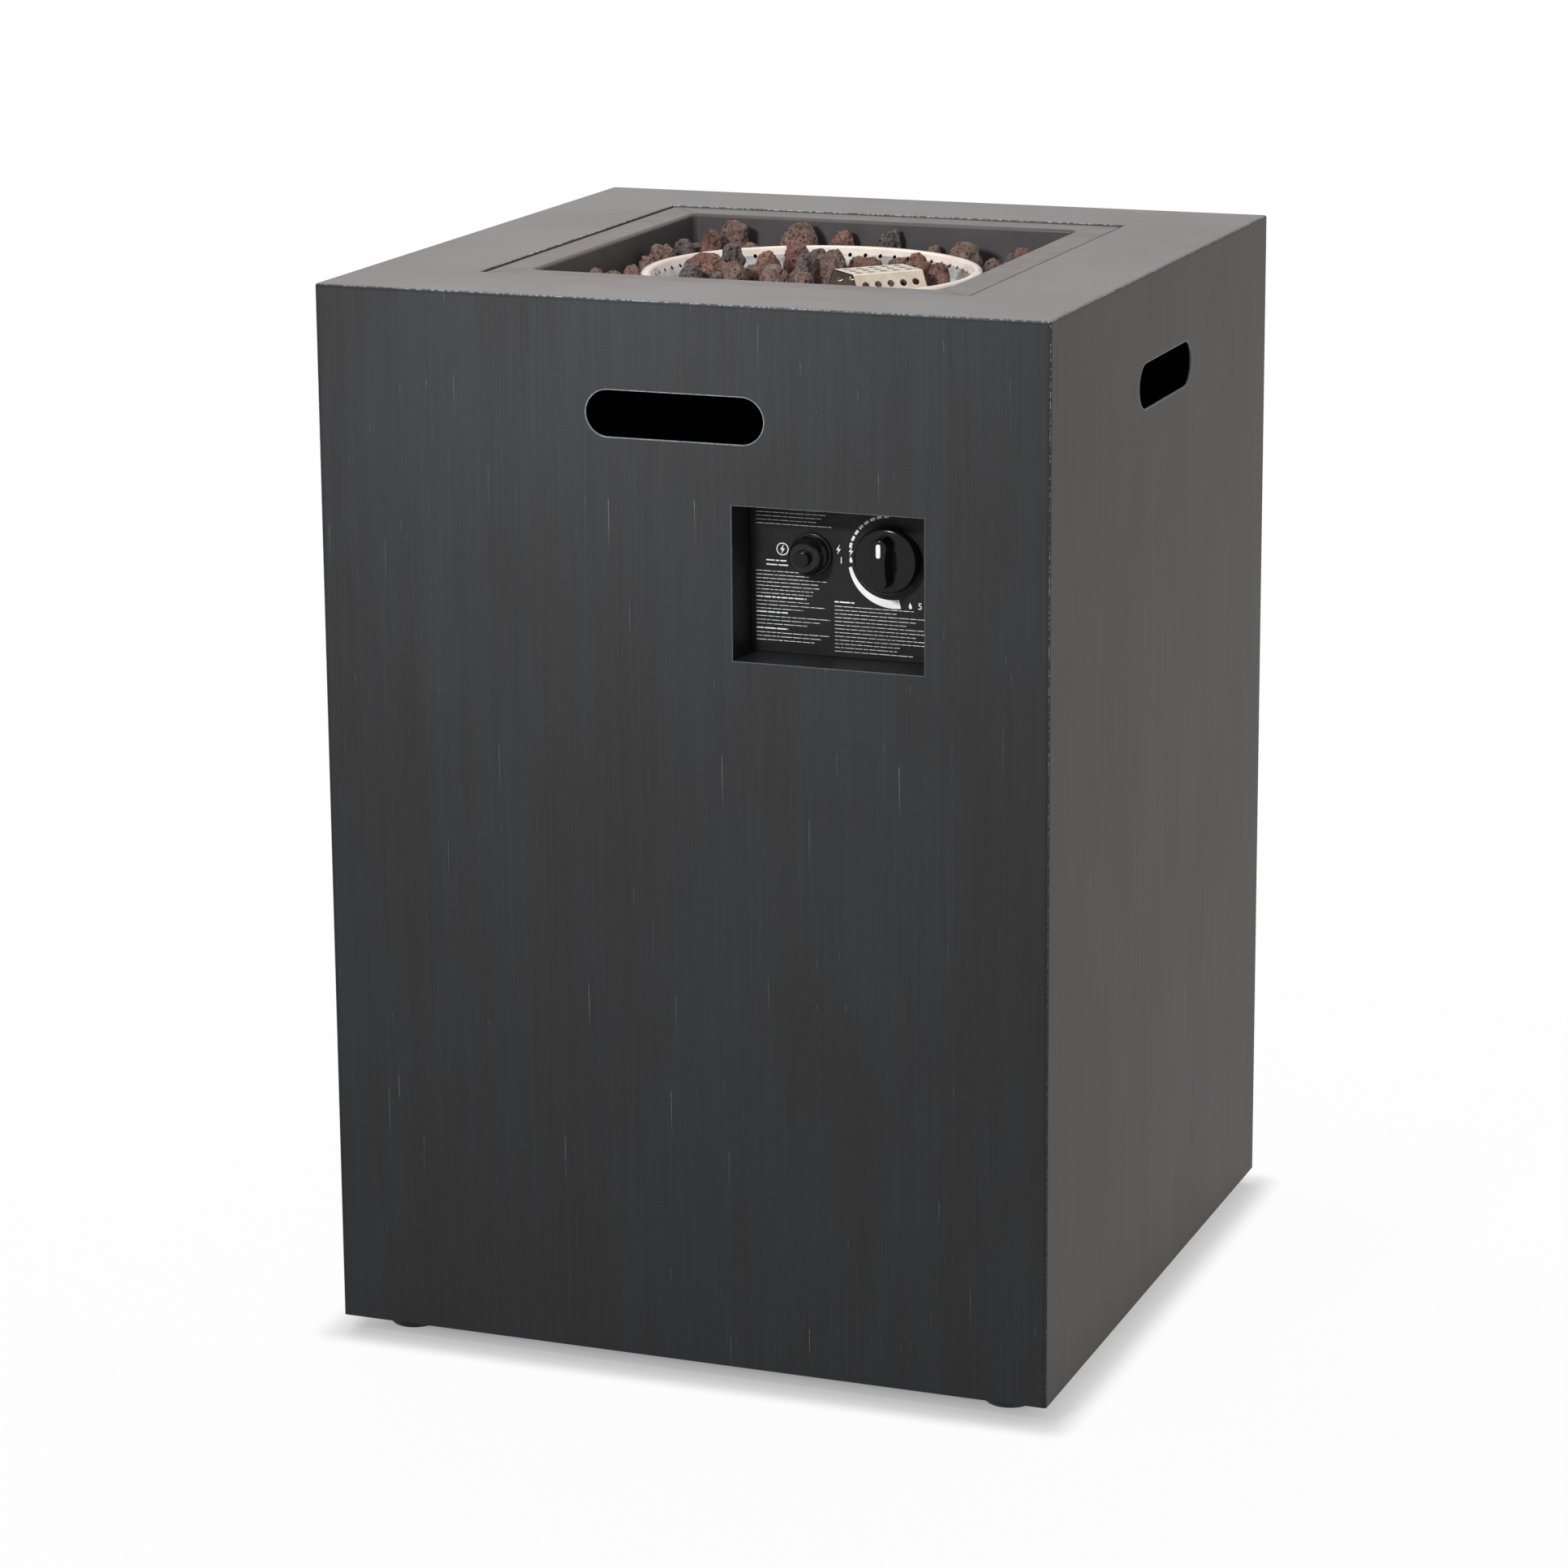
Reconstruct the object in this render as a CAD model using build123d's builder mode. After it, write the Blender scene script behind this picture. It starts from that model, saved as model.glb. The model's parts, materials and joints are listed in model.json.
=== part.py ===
"""Square column fire pit for propane, with a round burner, lava rocks and a recessed control panel.

Millimetres. The origin is on the ground under the middle of the body. +Z is up, the controls face -Y,
and +X is to the right of someone who faces them.
"""

import os
from dataclasses import dataclass
from math import cos, hypot, pi, radians, sin, sqrt, tan
from random import Random

from build123d import *

os.makedirs("parts", exist_ok=True)

# Clearances
slip_gap = 0.3          # round a piece that is dropped into place or moves past another
running_gap = 0.1       # radial, round a shaft that turns in its bore
thread_gap = 0.05       # radial, between a screw and its nut
overrun = 1.0           # cuts past the faces that they open
screw_end = 1.0         # screw ends past their nuts
tolerance = 0.01        # when a face or an edge is picked by its place

# Body
body_width = 495.0
body_depth = 495.0
body_height = 700.0
sheet = 1.2
edge_radius = 1.6
bottom_flange = 55.0
mitre_margin = 15.0     # mitre cuts past the bottom flange
slot_length = 120.0
slot_width = 30.0
slot_drop = 73.0        # middle of a hand slot below the top
angle_leg = 20.0
angle_sheet = 1.5

# Feet
foot_height = 12.0
foot_radius = 17.5
foot_tread_radius = 15.5
foot_edge_height = 3.0
foot_inset = 36.0       # foot axis from the two nearest faces of the body
foot_recess = 5.0
foot_screw_radius = 3.0
foot_head_radius = 5.3
foot_head_height = 3.0
foot_nut_flats = 10.0
foot_nut_height = 5.0
foot_edge_radius = 1.2
gusset_size = 52.0
gusset_corner = 20.0    # cut off the inner corner of a gusset
gusset_sheet = 2.5

# Top opening and burner tray
opening_width = 336.0
ledge_width = 18.0
tray_drop = 1.0         # tray flange below the top of the body
tray_gap = 2.5
tray_flange = 24.0
tray_depth = 38.0       # tray floor below the top of the body
tray_sheet = 1.2
tray_bend = 2.5
tray_corner_radius = 5.0
mitre_slit = 0.6

# Burner
ring_drop = 14.5        # top of the burner ring below the top of the body
ring_radius = 115.0
ring_flat = 6.0
ring_bend = 2.5
burner_sheet = 1.0
base_lip = 2.0
plenum_height = 5.0
dish_floor_radius = 98.0
dish_bend = 7.0
port_drop = 20.0        # burner ports below the top of the body
port_radius = 1.5
port_count = 60
inlet_radius = 10.5
inlet_bore_radius = 6.5
inlet_flange_radius = 15.0
inlet_flange_height = 2.5
inlet_length = 32.0     # nipple below the tray floor
inlet_nut_flats = 30.0
inlet_nut_height = 8.0
washer_radius = 17.0
washer_height = 1.5

# Heat shield under the tray
shield_size = 276.0
shield_sheet = 0.8
shield_lip = 8.0
shield_bend = 2.0
shield_hole_radius = 14.0
shield_lead_gap = 2.0   # round the leads where they pass the shield
spacer_height = 17.0
spacer_radius = 5.0
bolt_inset = 13.5       # shield bolt axis from the tray walls
bolt_radius = 2.5
bolt_head_radius = 4.5
bolt_head_height = 2.5
bolt_nut_flats = 8.0
bolt_nut_height = 4.0

# Air mixer and jet
mixer_radius = 13.0
mixer_length = 62.0
mixer_socket = 12.0
mixer_bore_radius = 8.0
mixer_edge = 1.0
mixer_window_radius = 4.5
mixer_window_height = 22.0
jet_radius = 5.5
jet_length = 14.0
jet_chamfer = 1.5
jet_socket = 8.4        # threaded foot of the mixer round the jet
jet_hole_radius = 0.6
jet_hole_depth = 3.0
jet_collar_flats = 17.0
jet_collar_height = 6.0
elbow_size = 16.0
elbow_branch_radius = 6.2
elbow_branch_length = 24.0

# Guard over the spark rod and the flame probe
guard_x = 52.5
guard_y = -15.0
guard_turn = 46.0
guard_drop = 10.0
guard_length = 51.0
guard_top_width = 31.0
guard_slope = 32.0      # degrees from upright
guard_sheet = 0.8
guard_bend = 2.0
guard_hole_radius = 2.5
guard_hole_columns = 5
guard_hole_pitch = 9.2
guard_top_rows = 3
guard_side_rows = 2
guard_rows_pitch = 8.8
guard_side_row = 8.0    # first row of side holes below the top, along the slope
guard_tab_length = 8.0
guard_tab_width = 14.0
guard_screw_radius = 1.5
guard_screw_below = 2.5 # guard screw below the dish
guard_head_radius = 3.0
guard_head_height = 1.6

# Spark rod and flame probe
sensor_offset = 12.0
sleeve_radius = 4.5
sleeve_bore_radius = 3.3
sleeve_collar_radius = 6.0
sleeve_collar_height = 1.5
sleeve_above = 3.0      # sleeve above the floor of the dish
sleeve_below = 5.0      # sleeve below the tray floor
insulator_radius = 3.0
insulator_above = 6.0
insulator_below = 8.0
insulator_edge = 0.8
spark_rod_radius = 1.0
spark_rod_above = 3.0
spark_rod_below = 6.0
spark_rod_tip = 6.0
spark_rod_bend = 2.0
probe_radius = 2.4
probe_tip_radius = 1.6
probe_above = 9.0
probe_below = 10.0
sensor_collar_radius = 4.6
sensor_collar_height = 1.5
boot_radius = 3.8
boot_length = 18.0
boot_edge = 1.5

# Control recess
window_width = 128.0
window_height = 100.0
window_x = 102.0
window_z = 535.0
recess_depth = 32.0     # control plate behind the front of the body
plate_sheet = 1.0
plate_gap = 0.5
housing_sheet = 1.2
housing_flange = 14.0
stud_radius = 2.0
stud_length = 7.0
stud_nut_flats = 7.0
stud_nut_height = 3.2

# Valve and knob
knob_x = 132.0
control_z = 551.0
valve_radius = 16.0
valve_depth = 44.0
valve_edge = 3.0
valve_flange_length = 40.0
valve_flange_width = 26.0
valve_flange_corner = 10.0
valve_flange_sheet = 4.0
valve_port_back = 32.0  # axis of the valve's ports behind its flange
valve_outlet_radius = 8.0
valve_outlet_height = 28.0
valve_inlet_radius = 9.0
valve_inlet_height = 26.0
magnet_radius = 7.0
magnet_length = 12.0
magnet_seat = 4.0       # magnet unit inside the barrel
bonnet_radius = 7.0
bonnet_height = 2.0     # valve bonnet in front of the plate
valve_screw_offset = 13.5
valve_screw_radius = 1.9
valve_screw_depth = 6.0 # valve screw in the valve
valve_head_radius = 3.0
valve_head_height = 1.8
hose_thread_radius = 7.9
hose_thread_length = 18.0
hose_chamfer = 1.0
hose_hex_flats = 19.0
hose_hex_height = 8.0
hose_bore_radius = 3.5
spindle_radius = 4.2
spindle_flat = 3.0      # flat of the spindle from its axis
spindle_above = 16.5
spindle_below = 22.0
push_travel = 3.0
knob_radius = 21.3
knob_wall = 2.0
knob_lift = 4.2         # back of the knob off the plate
knob_band = 2.6         # straight part of the skirt
knob_shoulder = 2.4
knob_skirt_top = 9.5
knob_dome = 10.6
knob_dome_radius = 9.8
knob_height = 22.0
knob_ceiling = 8.0      # inside of the knob off the plate
knob_boss_radius = 6.0
knob_boss_back = 5.6
grip_length = 34.0
grip_end_width = 13.0
grip_waist_width = 10.6
grip_waist_curve = 52.0
grip_corner = 3.0
grip_edge = 1.2
grip_taper = 4.0
pointer_length = 9.0
pointer_width = 3.0
pointer_depth = 0.6
pointer_proud = 0.1
pointer_centre = 9.0
knob_spring_radius = 8.6
knob_spring_wire = 0.9
knob_spring_turns = 3
seat_inner_radius = 6.5
seat_outer_radius = 9.8
seat_sheet = 0.8

# Spark igniter with its battery under a screw cap
igniter_x = 80.0
igniter_radius = 11.0
igniter_back = 46.0
igniter_flange_radius = 13.75
igniter_flange_height = 3.0
igniter_edge = 1.0
lead_boss_wall = 1.2
lead_boss_length = 3.0
neck_radius = 8.2
neck_height = 7.2
battery_radius = 5.25
battery_length = 44.0
battery_nub_radius = 1.9
battery_nub_length = 1.0
igniter_nut_flats = 28.0
igniter_nut_height = 6.0
cap_base_radius = 12.4
cap_front_radius = 9.8
cap_height = 16.0
cap_shoulder = 1.2
cap_edge = 1.2
cap_front_wall = 1.5
cap_cavity_radius = 6.8
contact_sheet = 0.5
button_radius = 5.0
button_flange_radius = 6.3
button_flange_height = 1.0
button_height = 21.0
button_edge = 1.0
button_spring_radius = 5.0
button_spring_wire = 0.5
button_spring_turns = 3
battery_spring_radius = 3.6
battery_spring_wire = 0.5
battery_spring_turns = 2
battery_spring_length = 3.0

# Pipe and leads
pipe_radius = 3.2
pipe_socket = 6.0       # pipe inside its fittings
pipe_bow = 33.0         # top of the pipe above the outlet of the valve
pipe_nut_flats = 14.0
pipe_nut_height = 12.0
lead_radius = 1.6
probe_lead_radius = 1.2

# Lava rocks: x, y, width, depth, drop of the top below the top of the body, turn, colour
rock_sides = 7
rock_gap = 0.4
outer_rocks = [
    (-124.0, 44.0, 27.0, 26.0, 9.0, 10.0, "brown"),
    (-122.0, 76.0, 19.0, 22.0, 10.0, 30.0, "grey"),
    (-110.0, 94.0, 18.5, 20.0, 5.5, 0.0, "red"),
    (-102.0, 122.0, 27.0, 27.0, 2.0, 20.0, "brown"),
    (-56.5, 126.0, 35.0, 26.0, 2.0, 0.0, "brown"),
    (-26.5, 128.5, 23.0, 21.0, 7.6, 0.0, "red"),
    (8.0, 129.5, 24.0, 21.0, 5.8, 0.0, "grey"),
    (71.0, 114.0, 35.0, 25.0, 8.0, -32.0, "brown"),
    (119.0, 98.0, 22.0, 20.0, 9.0, 0.0, "red"),
    (-108.0, -117.0, 22.0, 24.0, 2.0, 0.0, "brown"),
    (-83.0, -113.0, 20.0, 18.0, 2.5, 0.0, "red"),
]
inner_rocks = [
    (-79.0, 2.0, 36.0, 30.0, 7.5, 0.0, "red"),
    (-67.0, -48.0, 19.0, 18.0, 8.0, 0.0, "grey"),
    (-71.0, 33.0, 20.5, 22.0, 6.0, 0.0, "grey"),
    (-40.0, -40.0, 21.0, 22.0, 6.0, 0.0, "brown"),
    (-30.0, -8.0, 22.0, 24.0, 2.4, 0.0, "red"),
    (-21.0, 30.0, 24.5, 22.0, 2.0, 0.0, "red"),
    (-1.0, -12.0, 16.5, 18.0, 2.8, 0.0, "grey"),
    (-1.0, 50.0, 22.0, 20.0, 7.5, 0.0, "brown"),
    (9.0, 11.0, 26.0, 20.0, 6.0, 20.0, "brown"),
    (27.0, 40.0, 30.0, 22.0, 10.5, 0.0, "red"),
    (65.0, 30.0, 21.0, 22.0, 4.0, 0.0, "red"),
    (85.0, 19.0, 21.0, 20.0, 8.5, 0.0, "red"),
    (-4.0, -58.0, 23.0, 22.0, 4.0, 0.0, "brown"),
    (19.0, -68.0, 17.0, 18.0, 6.0, 0.0, "brown"),
]
fill_tries = 2500
outer_fill_height = (19.0, 23.0)
inner_fill_height = (13.0, 18.0)
fill_width = (14.0, 26.0)

# Heights that follow from the sizes above
body_top = foot_height + body_height
ledge_top = body_top - tray_drop - tray_sheet
tray_floor = body_top - tray_depth
tray_under = tray_floor - tray_sheet
tray_inside = opening_width - 2 * (tray_gap + tray_flange)
ring_top = body_top - ring_drop
base_top = tray_floor + burner_sheet
dish_floor = base_top + plenum_height + burner_sheet
port_z = body_top - port_drop
inlet_bottom = tray_under - inlet_length
mixer_top = inlet_bottom + mixer_socket
mixer_bottom = mixer_top - mixer_length
shield_top = tray_under - spacer_height
elbow_z = mixer_bottom - jet_collar_height - elbow_size / 2
bolt_place = tray_inside / 2 - bolt_inset
foot_x = body_width / 2 - foot_inset
foot_y = body_depth / 2 - foot_inset
plate_back = plate_sheet + housing_sheet    # back of the housing behind the plate's front
plate_y = -body_depth / 2 + recess_depth
guard_top = body_top - guard_drop
guard_height = guard_top - dish_floor
guard_spread = guard_height * tan(radians(guard_slope))
guard_foot_half = guard_top_width / 2 + guard_spread


def write(piece, name):
    """Label a finished piece and write it as the node's file."""
    piece.part.label = name
    export_step(piece.part, f"parts/{name}.step")


def group(blank, places, name):
    """Write one node of equal pieces, a copy of the blank at each place."""
    with BuildPart() as pieces:
        with Locations(*places):
            add(blank.part)
    write(pieces, name)


def corners(x, y, z=0.0):
    """The four places at plus and minus x and y."""
    return [(sx * x, sy * y, z) for sx in (-1, 1) for sy in (-1, 1)]


def side_plane(turn, inset=0.0):
    """Plane on a side of the body at its foot: 0 is the front, 90 the right, 180 the rear, 270 the left."""
    outward = Vector(sin(radians(turn)), -cos(radians(turn)), 0)
    half = body_depth / 2 if turn % 180 == 0 else body_width / 2
    origin = outward * (half - inset) + Vector(0, 0, foot_height)
    return Plane(origin=origin, x_dir=(cos(radians(turn)), sin(radians(turn)), 0), z_dir=outward)


def front_plane(x, z, height=0.0):
    """Plane parallel to the control plate, a height in front of its face."""
    return Plane(origin=(x, plate_y - height, z), x_dir=(1, 0, 0), z_dir=(0, -1, 0))


def knob_plane(height=0.0):
    return front_plane(knob_x, control_z, height)


def igniter_plane(height=0.0):
    return front_plane(igniter_x, control_z, height)


def level_face(piece, z):
    """The level face of a piece at a height."""
    return piece.faces().filter_by(Plane.XY).filter_by_position(Axis.Z, z - tolerance, z + tolerance)[0]


def disc(plane, radius, height, bore_radius=0.0):
    """Round solid on a plane, with a bore if one is given, joined to the part in hand."""
    with BuildSketch(plane) as section:
        Circle(radius)
        if bore_radius:
            Circle(bore_radius, mode=Mode.SUBTRACT)
    extrude(section.sketch, amount=height)


def bore(plane, radius, depth):
    """Round hole that runs back from a plane."""
    with BuildSketch(plane) as section:
        Circle(radius)
    extrude(section.sketch, amount=-depth, mode=Mode.SUBTRACT)


def prism(plane, flats, height, bore_radius=0.0):
    """Hexagon on a plane, across flats, with a bore if one is given."""
    with BuildSketch(plane) as section:
        RegularPolygon(radius=flats / 2, side_count=6, major_radius=False)
        if bore_radius:
            Circle(bore_radius, mode=Mode.SUBTRACT)
    extrude(section.sketch, amount=height)


def hex_nut(flats, height, bore_radius):
    """Nut that stands on the XY plane."""
    with BuildPart() as nut:
        prism(Plane.XY, flats, height, bore_radius)
    return nut


def pan_screw(head_radius, head_height, radius, length):
    """Screw whose head stands on the XY plane, with its shank below."""
    with BuildPart() as screw:
        disc(Plane.XY, head_radius, head_height)
        fillet(screw.faces().sort_by(Axis.Z)[-1].edges(), head_height * 0.4)
        disc(Plane.XY.offset(-length), radius, length)
    return screw


def route_radii(points):
    """Bend radius at each inner point: 0.45 of the shorter run over the tangent of half the turn."""
    radii = []
    for before, here, after in zip(points, points[1:], points[2:]):
        run_in = Vector(*here) - Vector(*before)
        run_out = Vector(*after) - Vector(*here)
        turn = run_in.get_angle(run_out)
        radii.append(0.45 * min(run_in.length, run_out.length) / tan(radians(turn / 2)))
    return radii


def tube(points, radius, name):
    """Round tube or lead of straight runs and tangent bends, written as a node."""
    radii = route_radii(points)
    with BuildPart() as piece:
        with BuildLine() as route:
            FilletPolyline(*points, radius=radii)
        with BuildSketch(Plane(origin=route.line @ 0, z_dir=route.line % 0)):
            Circle(radius)
        sweep()
    length = sum(edge.length for edge in route.line.edges())
    print(name, "bend radii", [round(r, 1) for r in radii], "length", round(length, 1),
          "volume over expected", round(piece.part.volume / (pi * radius**2 * length), 4))
    write(piece, name)


def coil(plane, mean_radius, wire, turns, length, name):
    """Compression spring that stands on a plane, its coils in half-turn arcs."""
    rise = (length - wire) / (2 * turns)

    def point(half_turns):
        angle = pi * half_turns
        local = Vector(mean_radius * cos(angle), mean_radius * sin(angle), wire / 2 + rise * half_turns)
        return plane.from_local_coords(local)

    with BuildPart() as piece:
        with BuildLine() as route:
            for half in range(2 * turns):
                ThreePointArc(point(half), point(half + 0.5), point(half + 1))
        with BuildSketch(Plane(origin=route.line @ 0, z_dir=route.line % 0)):
            Circle(wire / 2)
        sweep()
    print(name, "least gap between coils", round(2 * rise - wire, 2))
    write(piece, name)


# Folded casing: a box of sheet with a flange round its open foot, cut into panels that meet on mitres.
with BuildPart() as casing:
    with BuildSketch(Plane.XY.offset(foot_height)):
        Rectangle(body_width, body_depth)
    extrude(amount=body_height)
    outer_edges = casing.edges().filter_by(Axis.Z) + casing.faces().sort_by(Axis.Z)[-1].edges()
    fillet(outer_edges, edge_radius)
    with BuildSketch(Plane.XY.offset(foot_height + sheet)):
        Rectangle(body_width - 2 * sheet, body_depth - 2 * sheet)
    extrude(amount=body_height - 2 * sheet, mode=Mode.SUBTRACT)
    with BuildSketch(Plane.XY.offset(foot_height)):
        Rectangle(body_width - 2 * bottom_flange, body_depth - 2 * bottom_flange)
    extrude(amount=sheet, mode=Mode.SUBTRACT)
    with BuildSketch(Plane.XY.offset(foot_height)):
        with Locations(*corners(foot_x, foot_y)):
            Circle(foot_screw_radius + slip_gap)
    extrude(amount=sheet, mode=Mode.SUBTRACT)

mitre_depth = bottom_flange + mitre_margin

for panel_name, turn in (("front_panel", 0), ("right_panel", 90), ("rear_panel", 180), ("left_panel", 270)):
    face_width = body_width if turn % 180 == 0 else body_depth
    with BuildPart() as panel:
        add(casing.part)
        with BuildSketch(side_plane(turn)):
            Rectangle(face_width, body_height, align=(Align.CENTER, Align.MIN))
        with BuildSketch(side_plane(turn, mitre_depth)):
            Rectangle(face_width - 2 * mitre_depth, body_height - mitre_depth,
                      align=(Align.CENTER, Align.MIN))
        loft(mode=Mode.INTERSECT)
        with BuildSketch(side_plane(turn)):
            with Locations((0, body_height - slot_drop)):
                SlotOverall(slot_length, slot_width)
            if panel_name == "front_panel":
                with Locations((window_x, window_z - foot_height)):
                    Rectangle(window_width, window_height)
        extrude(amount=-sheet, mode=Mode.SUBTRACT)
    write(panel, panel_name)

# Top frame, with a joggle round its opening that forms the ledge for the tray
with BuildPart() as top_frame:
    add(casing.part)
    with BuildSketch(Plane.XY.offset(body_top)):
        Rectangle(body_width, body_depth)
    with BuildSketch(Plane.XY.offset(body_top - mitre_depth)):
        Rectangle(body_width - 2 * mitre_depth, body_depth - 2 * mitre_depth)
    loft(mode=Mode.INTERSECT)
    with BuildSketch(Plane.XY.offset(ledge_top - sheet)):
        Rectangle(opening_width + 2 * sheet, opening_width + 2 * sheet)
    extrude(amount=body_top - ledge_top + sheet)
    with BuildSketch(Plane.XY.offset(ledge_top)):
        Rectangle(opening_width, opening_width)
    extrude(amount=body_top - ledge_top, mode=Mode.SUBTRACT)
    with BuildSketch(Plane.XY.offset(ledge_top - sheet)):
        Rectangle(opening_width - 2 * ledge_width, opening_width - 2 * ledge_width)
    extrude(amount=sheet, mode=Mode.SUBTRACT)
    opening_edges = top_frame.faces().sort_by(Axis.Z)[-1].inner_wires()[0].edges()
    fillet(opening_edges, sheet * 0.4)
write(top_frame, "top_frame")

# Angles up the inside of the corners
with BuildPart() as corner_angles:
    with BuildSketch(Plane.XY.offset(foot_height + sheet + gusset_sheet)):
        with Locations((body_width / 2 - sheet, body_depth / 2 - sheet)):
            Rectangle(angle_leg, angle_leg, align=(Align.MAX, Align.MAX))
        with Locations((body_width / 2 - sheet - angle_sheet, body_depth / 2 - sheet - angle_sheet)):
            Rectangle(angle_leg, angle_leg, align=(Align.MAX, Align.MAX), mode=Mode.SUBTRACT)
    extrude(amount=body_height - 2 * sheet - gusset_sheet)
    mirror(about=Plane.XZ)
    mirror(about=Plane.YZ)
write(corner_angles, "corner_angles")

# Gussets that tie the mitred flange at the feet
with BuildPart() as foot_gussets:
    with BuildSketch(Plane.XY.offset(foot_height + sheet)) as gusset:
        with Locations((body_width / 2 - sheet, body_depth / 2 - sheet)):
            Rectangle(gusset_size, gusset_size, align=(Align.MAX, Align.MAX))
        chamfer(gusset.vertices().sort_by(lambda corner: corner.X + corner.Y)[0], gusset_corner)
        with Locations((foot_x, foot_y)):
            Circle(foot_screw_radius + slip_gap, mode=Mode.SUBTRACT)
    extrude(amount=gusset_sheet)
    mirror(about=Plane.XZ)
    mirror(about=Plane.YZ)
write(foot_gussets, "foot_gussets")

# Moulded feet with a recess for the screw head
foot_bore = foot_screw_radius + slip_gap
head_bore = foot_head_radius + slip_gap
with BuildPart() as foot:
    with BuildSketch(Plane.XZ):
        with BuildLine():
            Polyline((head_bore, 0), (foot_tread_radius, 0), (foot_radius, foot_edge_height),
                     (foot_radius, foot_height), (foot_bore, foot_height), (foot_bore, foot_recess),
                     (head_bore, foot_recess), close=True)
        make_face()
    revolve(axis=Axis.Z)
    rounds = foot.edges().filter_by(GeomType.CIRCLE)
    outer_rounds = rounds.filter_by(lambda edge: edge.radius > foot_tread_radius - tolerance)
    low_rounds = outer_rounds.filter_by_position(Axis.Z, -tolerance, foot_edge_height + tolerance)
    fillet(low_rounds, foot_edge_radius)
group(foot, corners(foot_x, foot_y), "feet")

foot_shank = foot_height - foot_recess + sheet + gusset_sheet + foot_nut_height + screw_end
with BuildPart() as foot_screw:
    disc(Plane.XY.offset(foot_recess - foot_head_height), foot_head_radius, foot_head_height)
    disc(Plane.XY.offset(foot_recess), foot_screw_radius, foot_shank)
group(foot_screw, corners(foot_x, foot_y), "foot_screws")
group(hex_nut(foot_nut_flats, foot_nut_height, foot_screw_radius + thread_gap),
      corners(foot_x, foot_y, foot_height + sheet + gusset_sheet), "foot_nuts")

# Places of the spark rod and the flame probe under the guard
guard_along = Vector(cos(radians(guard_turn)), sin(radians(guard_turn)), 0)
guard_out = Vector(sin(radians(guard_turn)), -cos(radians(guard_turn)), 0)
guard_centre = Vector(guard_x, guard_y, 0)
spark_place = guard_centre - guard_along * sensor_offset
probe_place = guard_centre + guard_along * sensor_offset
sensor_places = [(spark_place.X, spark_place.Y), (probe_place.X, probe_place.Y)]
tab_reach = guard_out * (guard_foot_half + guard_tab_length / 2)
guard_screw_places = [(place.X, place.Y) for place in (guard_centre + tab_reach, guard_centre - tab_reach)]
bolt_places = [(x, y) for x, y, _ in corners(bolt_place, bolt_place)]

# Pressed tray that hangs by its flange on the ledge
flange_half = tray_inside / 2 + tray_flange
tray_outside = tray_inside + 2 * tray_sheet
with BuildPart() as burner_tray:
    with BuildSketch(Plane.XY.offset(tray_under)):
        RectangleRounded(tray_outside, tray_outside, tray_corner_radius + tray_sheet)
    extrude(amount=ledge_top - tray_under)
    with BuildSketch(Plane.XY.offset(ledge_top)):
        Rectangle(2 * flange_half, 2 * flange_half)
    extrude(amount=tray_sheet)
    with BuildSketch(Plane.XY.offset(tray_floor)):
        RectangleRounded(tray_inside, tray_inside, tray_corner_radius)
    extrude(amount=ledge_top + tray_sheet - tray_floor, mode=Mode.SUBTRACT)
    rim = burner_tray.faces().sort_by(Axis.Z)[-1].inner_wires()[0].edges()
    fillet(rim, tray_bend)
    fillet(level_face(burner_tray, ledge_top).inner_wires()[0].edges(), tray_bend - tray_sheet)
    fillet(burner_tray.faces().sort_by(Axis.Z)[0].edges(), tray_bend)
    fillet(level_face(burner_tray, tray_floor).edges(), tray_bend - tray_sheet)
    with BuildSketch(Plane.XY.offset(tray_under)):
        Circle(inlet_radius + slip_gap)
        with Locations(*sensor_places):
            Circle(sleeve_radius + thread_gap)
        with Locations(*bolt_places):
            Circle(bolt_radius + slip_gap)
    extrude(amount=tray_sheet, mode=Mode.SUBTRACT)
    slit_start = tray_inside / 2 + tray_bend
    slit_length = (flange_half - slit_start) * sqrt(2) + overrun
    with BuildSketch(Plane.XY.offset(ledge_top)):
        for quarter in range(4):
            angle = 45.0 + 90.0 * quarter
            middle = slit_start * sqrt(2) + slit_length / 2
            with Locations((middle * cos(radians(angle)), middle * sin(radians(angle)))):
                Rectangle(slit_length, mitre_slit, rotation=angle)
    extrude(amount=tray_sheet, mode=Mode.SUBTRACT)
write(burner_tray, "burner_tray")

# Heat shield, hung under the tray on spacers
with BuildPart() as heat_shield:
    with BuildSketch(Plane.XY.offset(shield_top - shield_lip)):
        RectangleRounded(shield_size, shield_size, tray_corner_radius)
    extrude(amount=shield_lip)
    fillet(heat_shield.faces().sort_by(Axis.Z)[-1].edges(), shield_bend)
    with BuildSketch(Plane.XY.offset(shield_top - shield_lip)):
        RectangleRounded(shield_size - 2 * shield_sheet, shield_size - 2 * shield_sheet,
                         tray_corner_radius - shield_sheet)
    extrude(amount=shield_lip - shield_sheet, mode=Mode.SUBTRACT)
    with BuildSketch(Plane.XY.offset(shield_top - shield_sheet)):
        Circle(shield_hole_radius)
        with Locations(*sensor_places):
            Circle(boot_radius + shield_lead_gap)
        with Locations(*bolt_places):
            Circle(bolt_radius + slip_gap)
    extrude(amount=shield_sheet, mode=Mode.SUBTRACT)
write(heat_shield, "heat_shield")

with BuildPart() as spacer:
    disc(Plane.XY, spacer_radius, spacer_height, bolt_radius + slip_gap)
group(spacer, corners(bolt_place, bolt_place, shield_top), "shield_spacers")

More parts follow.
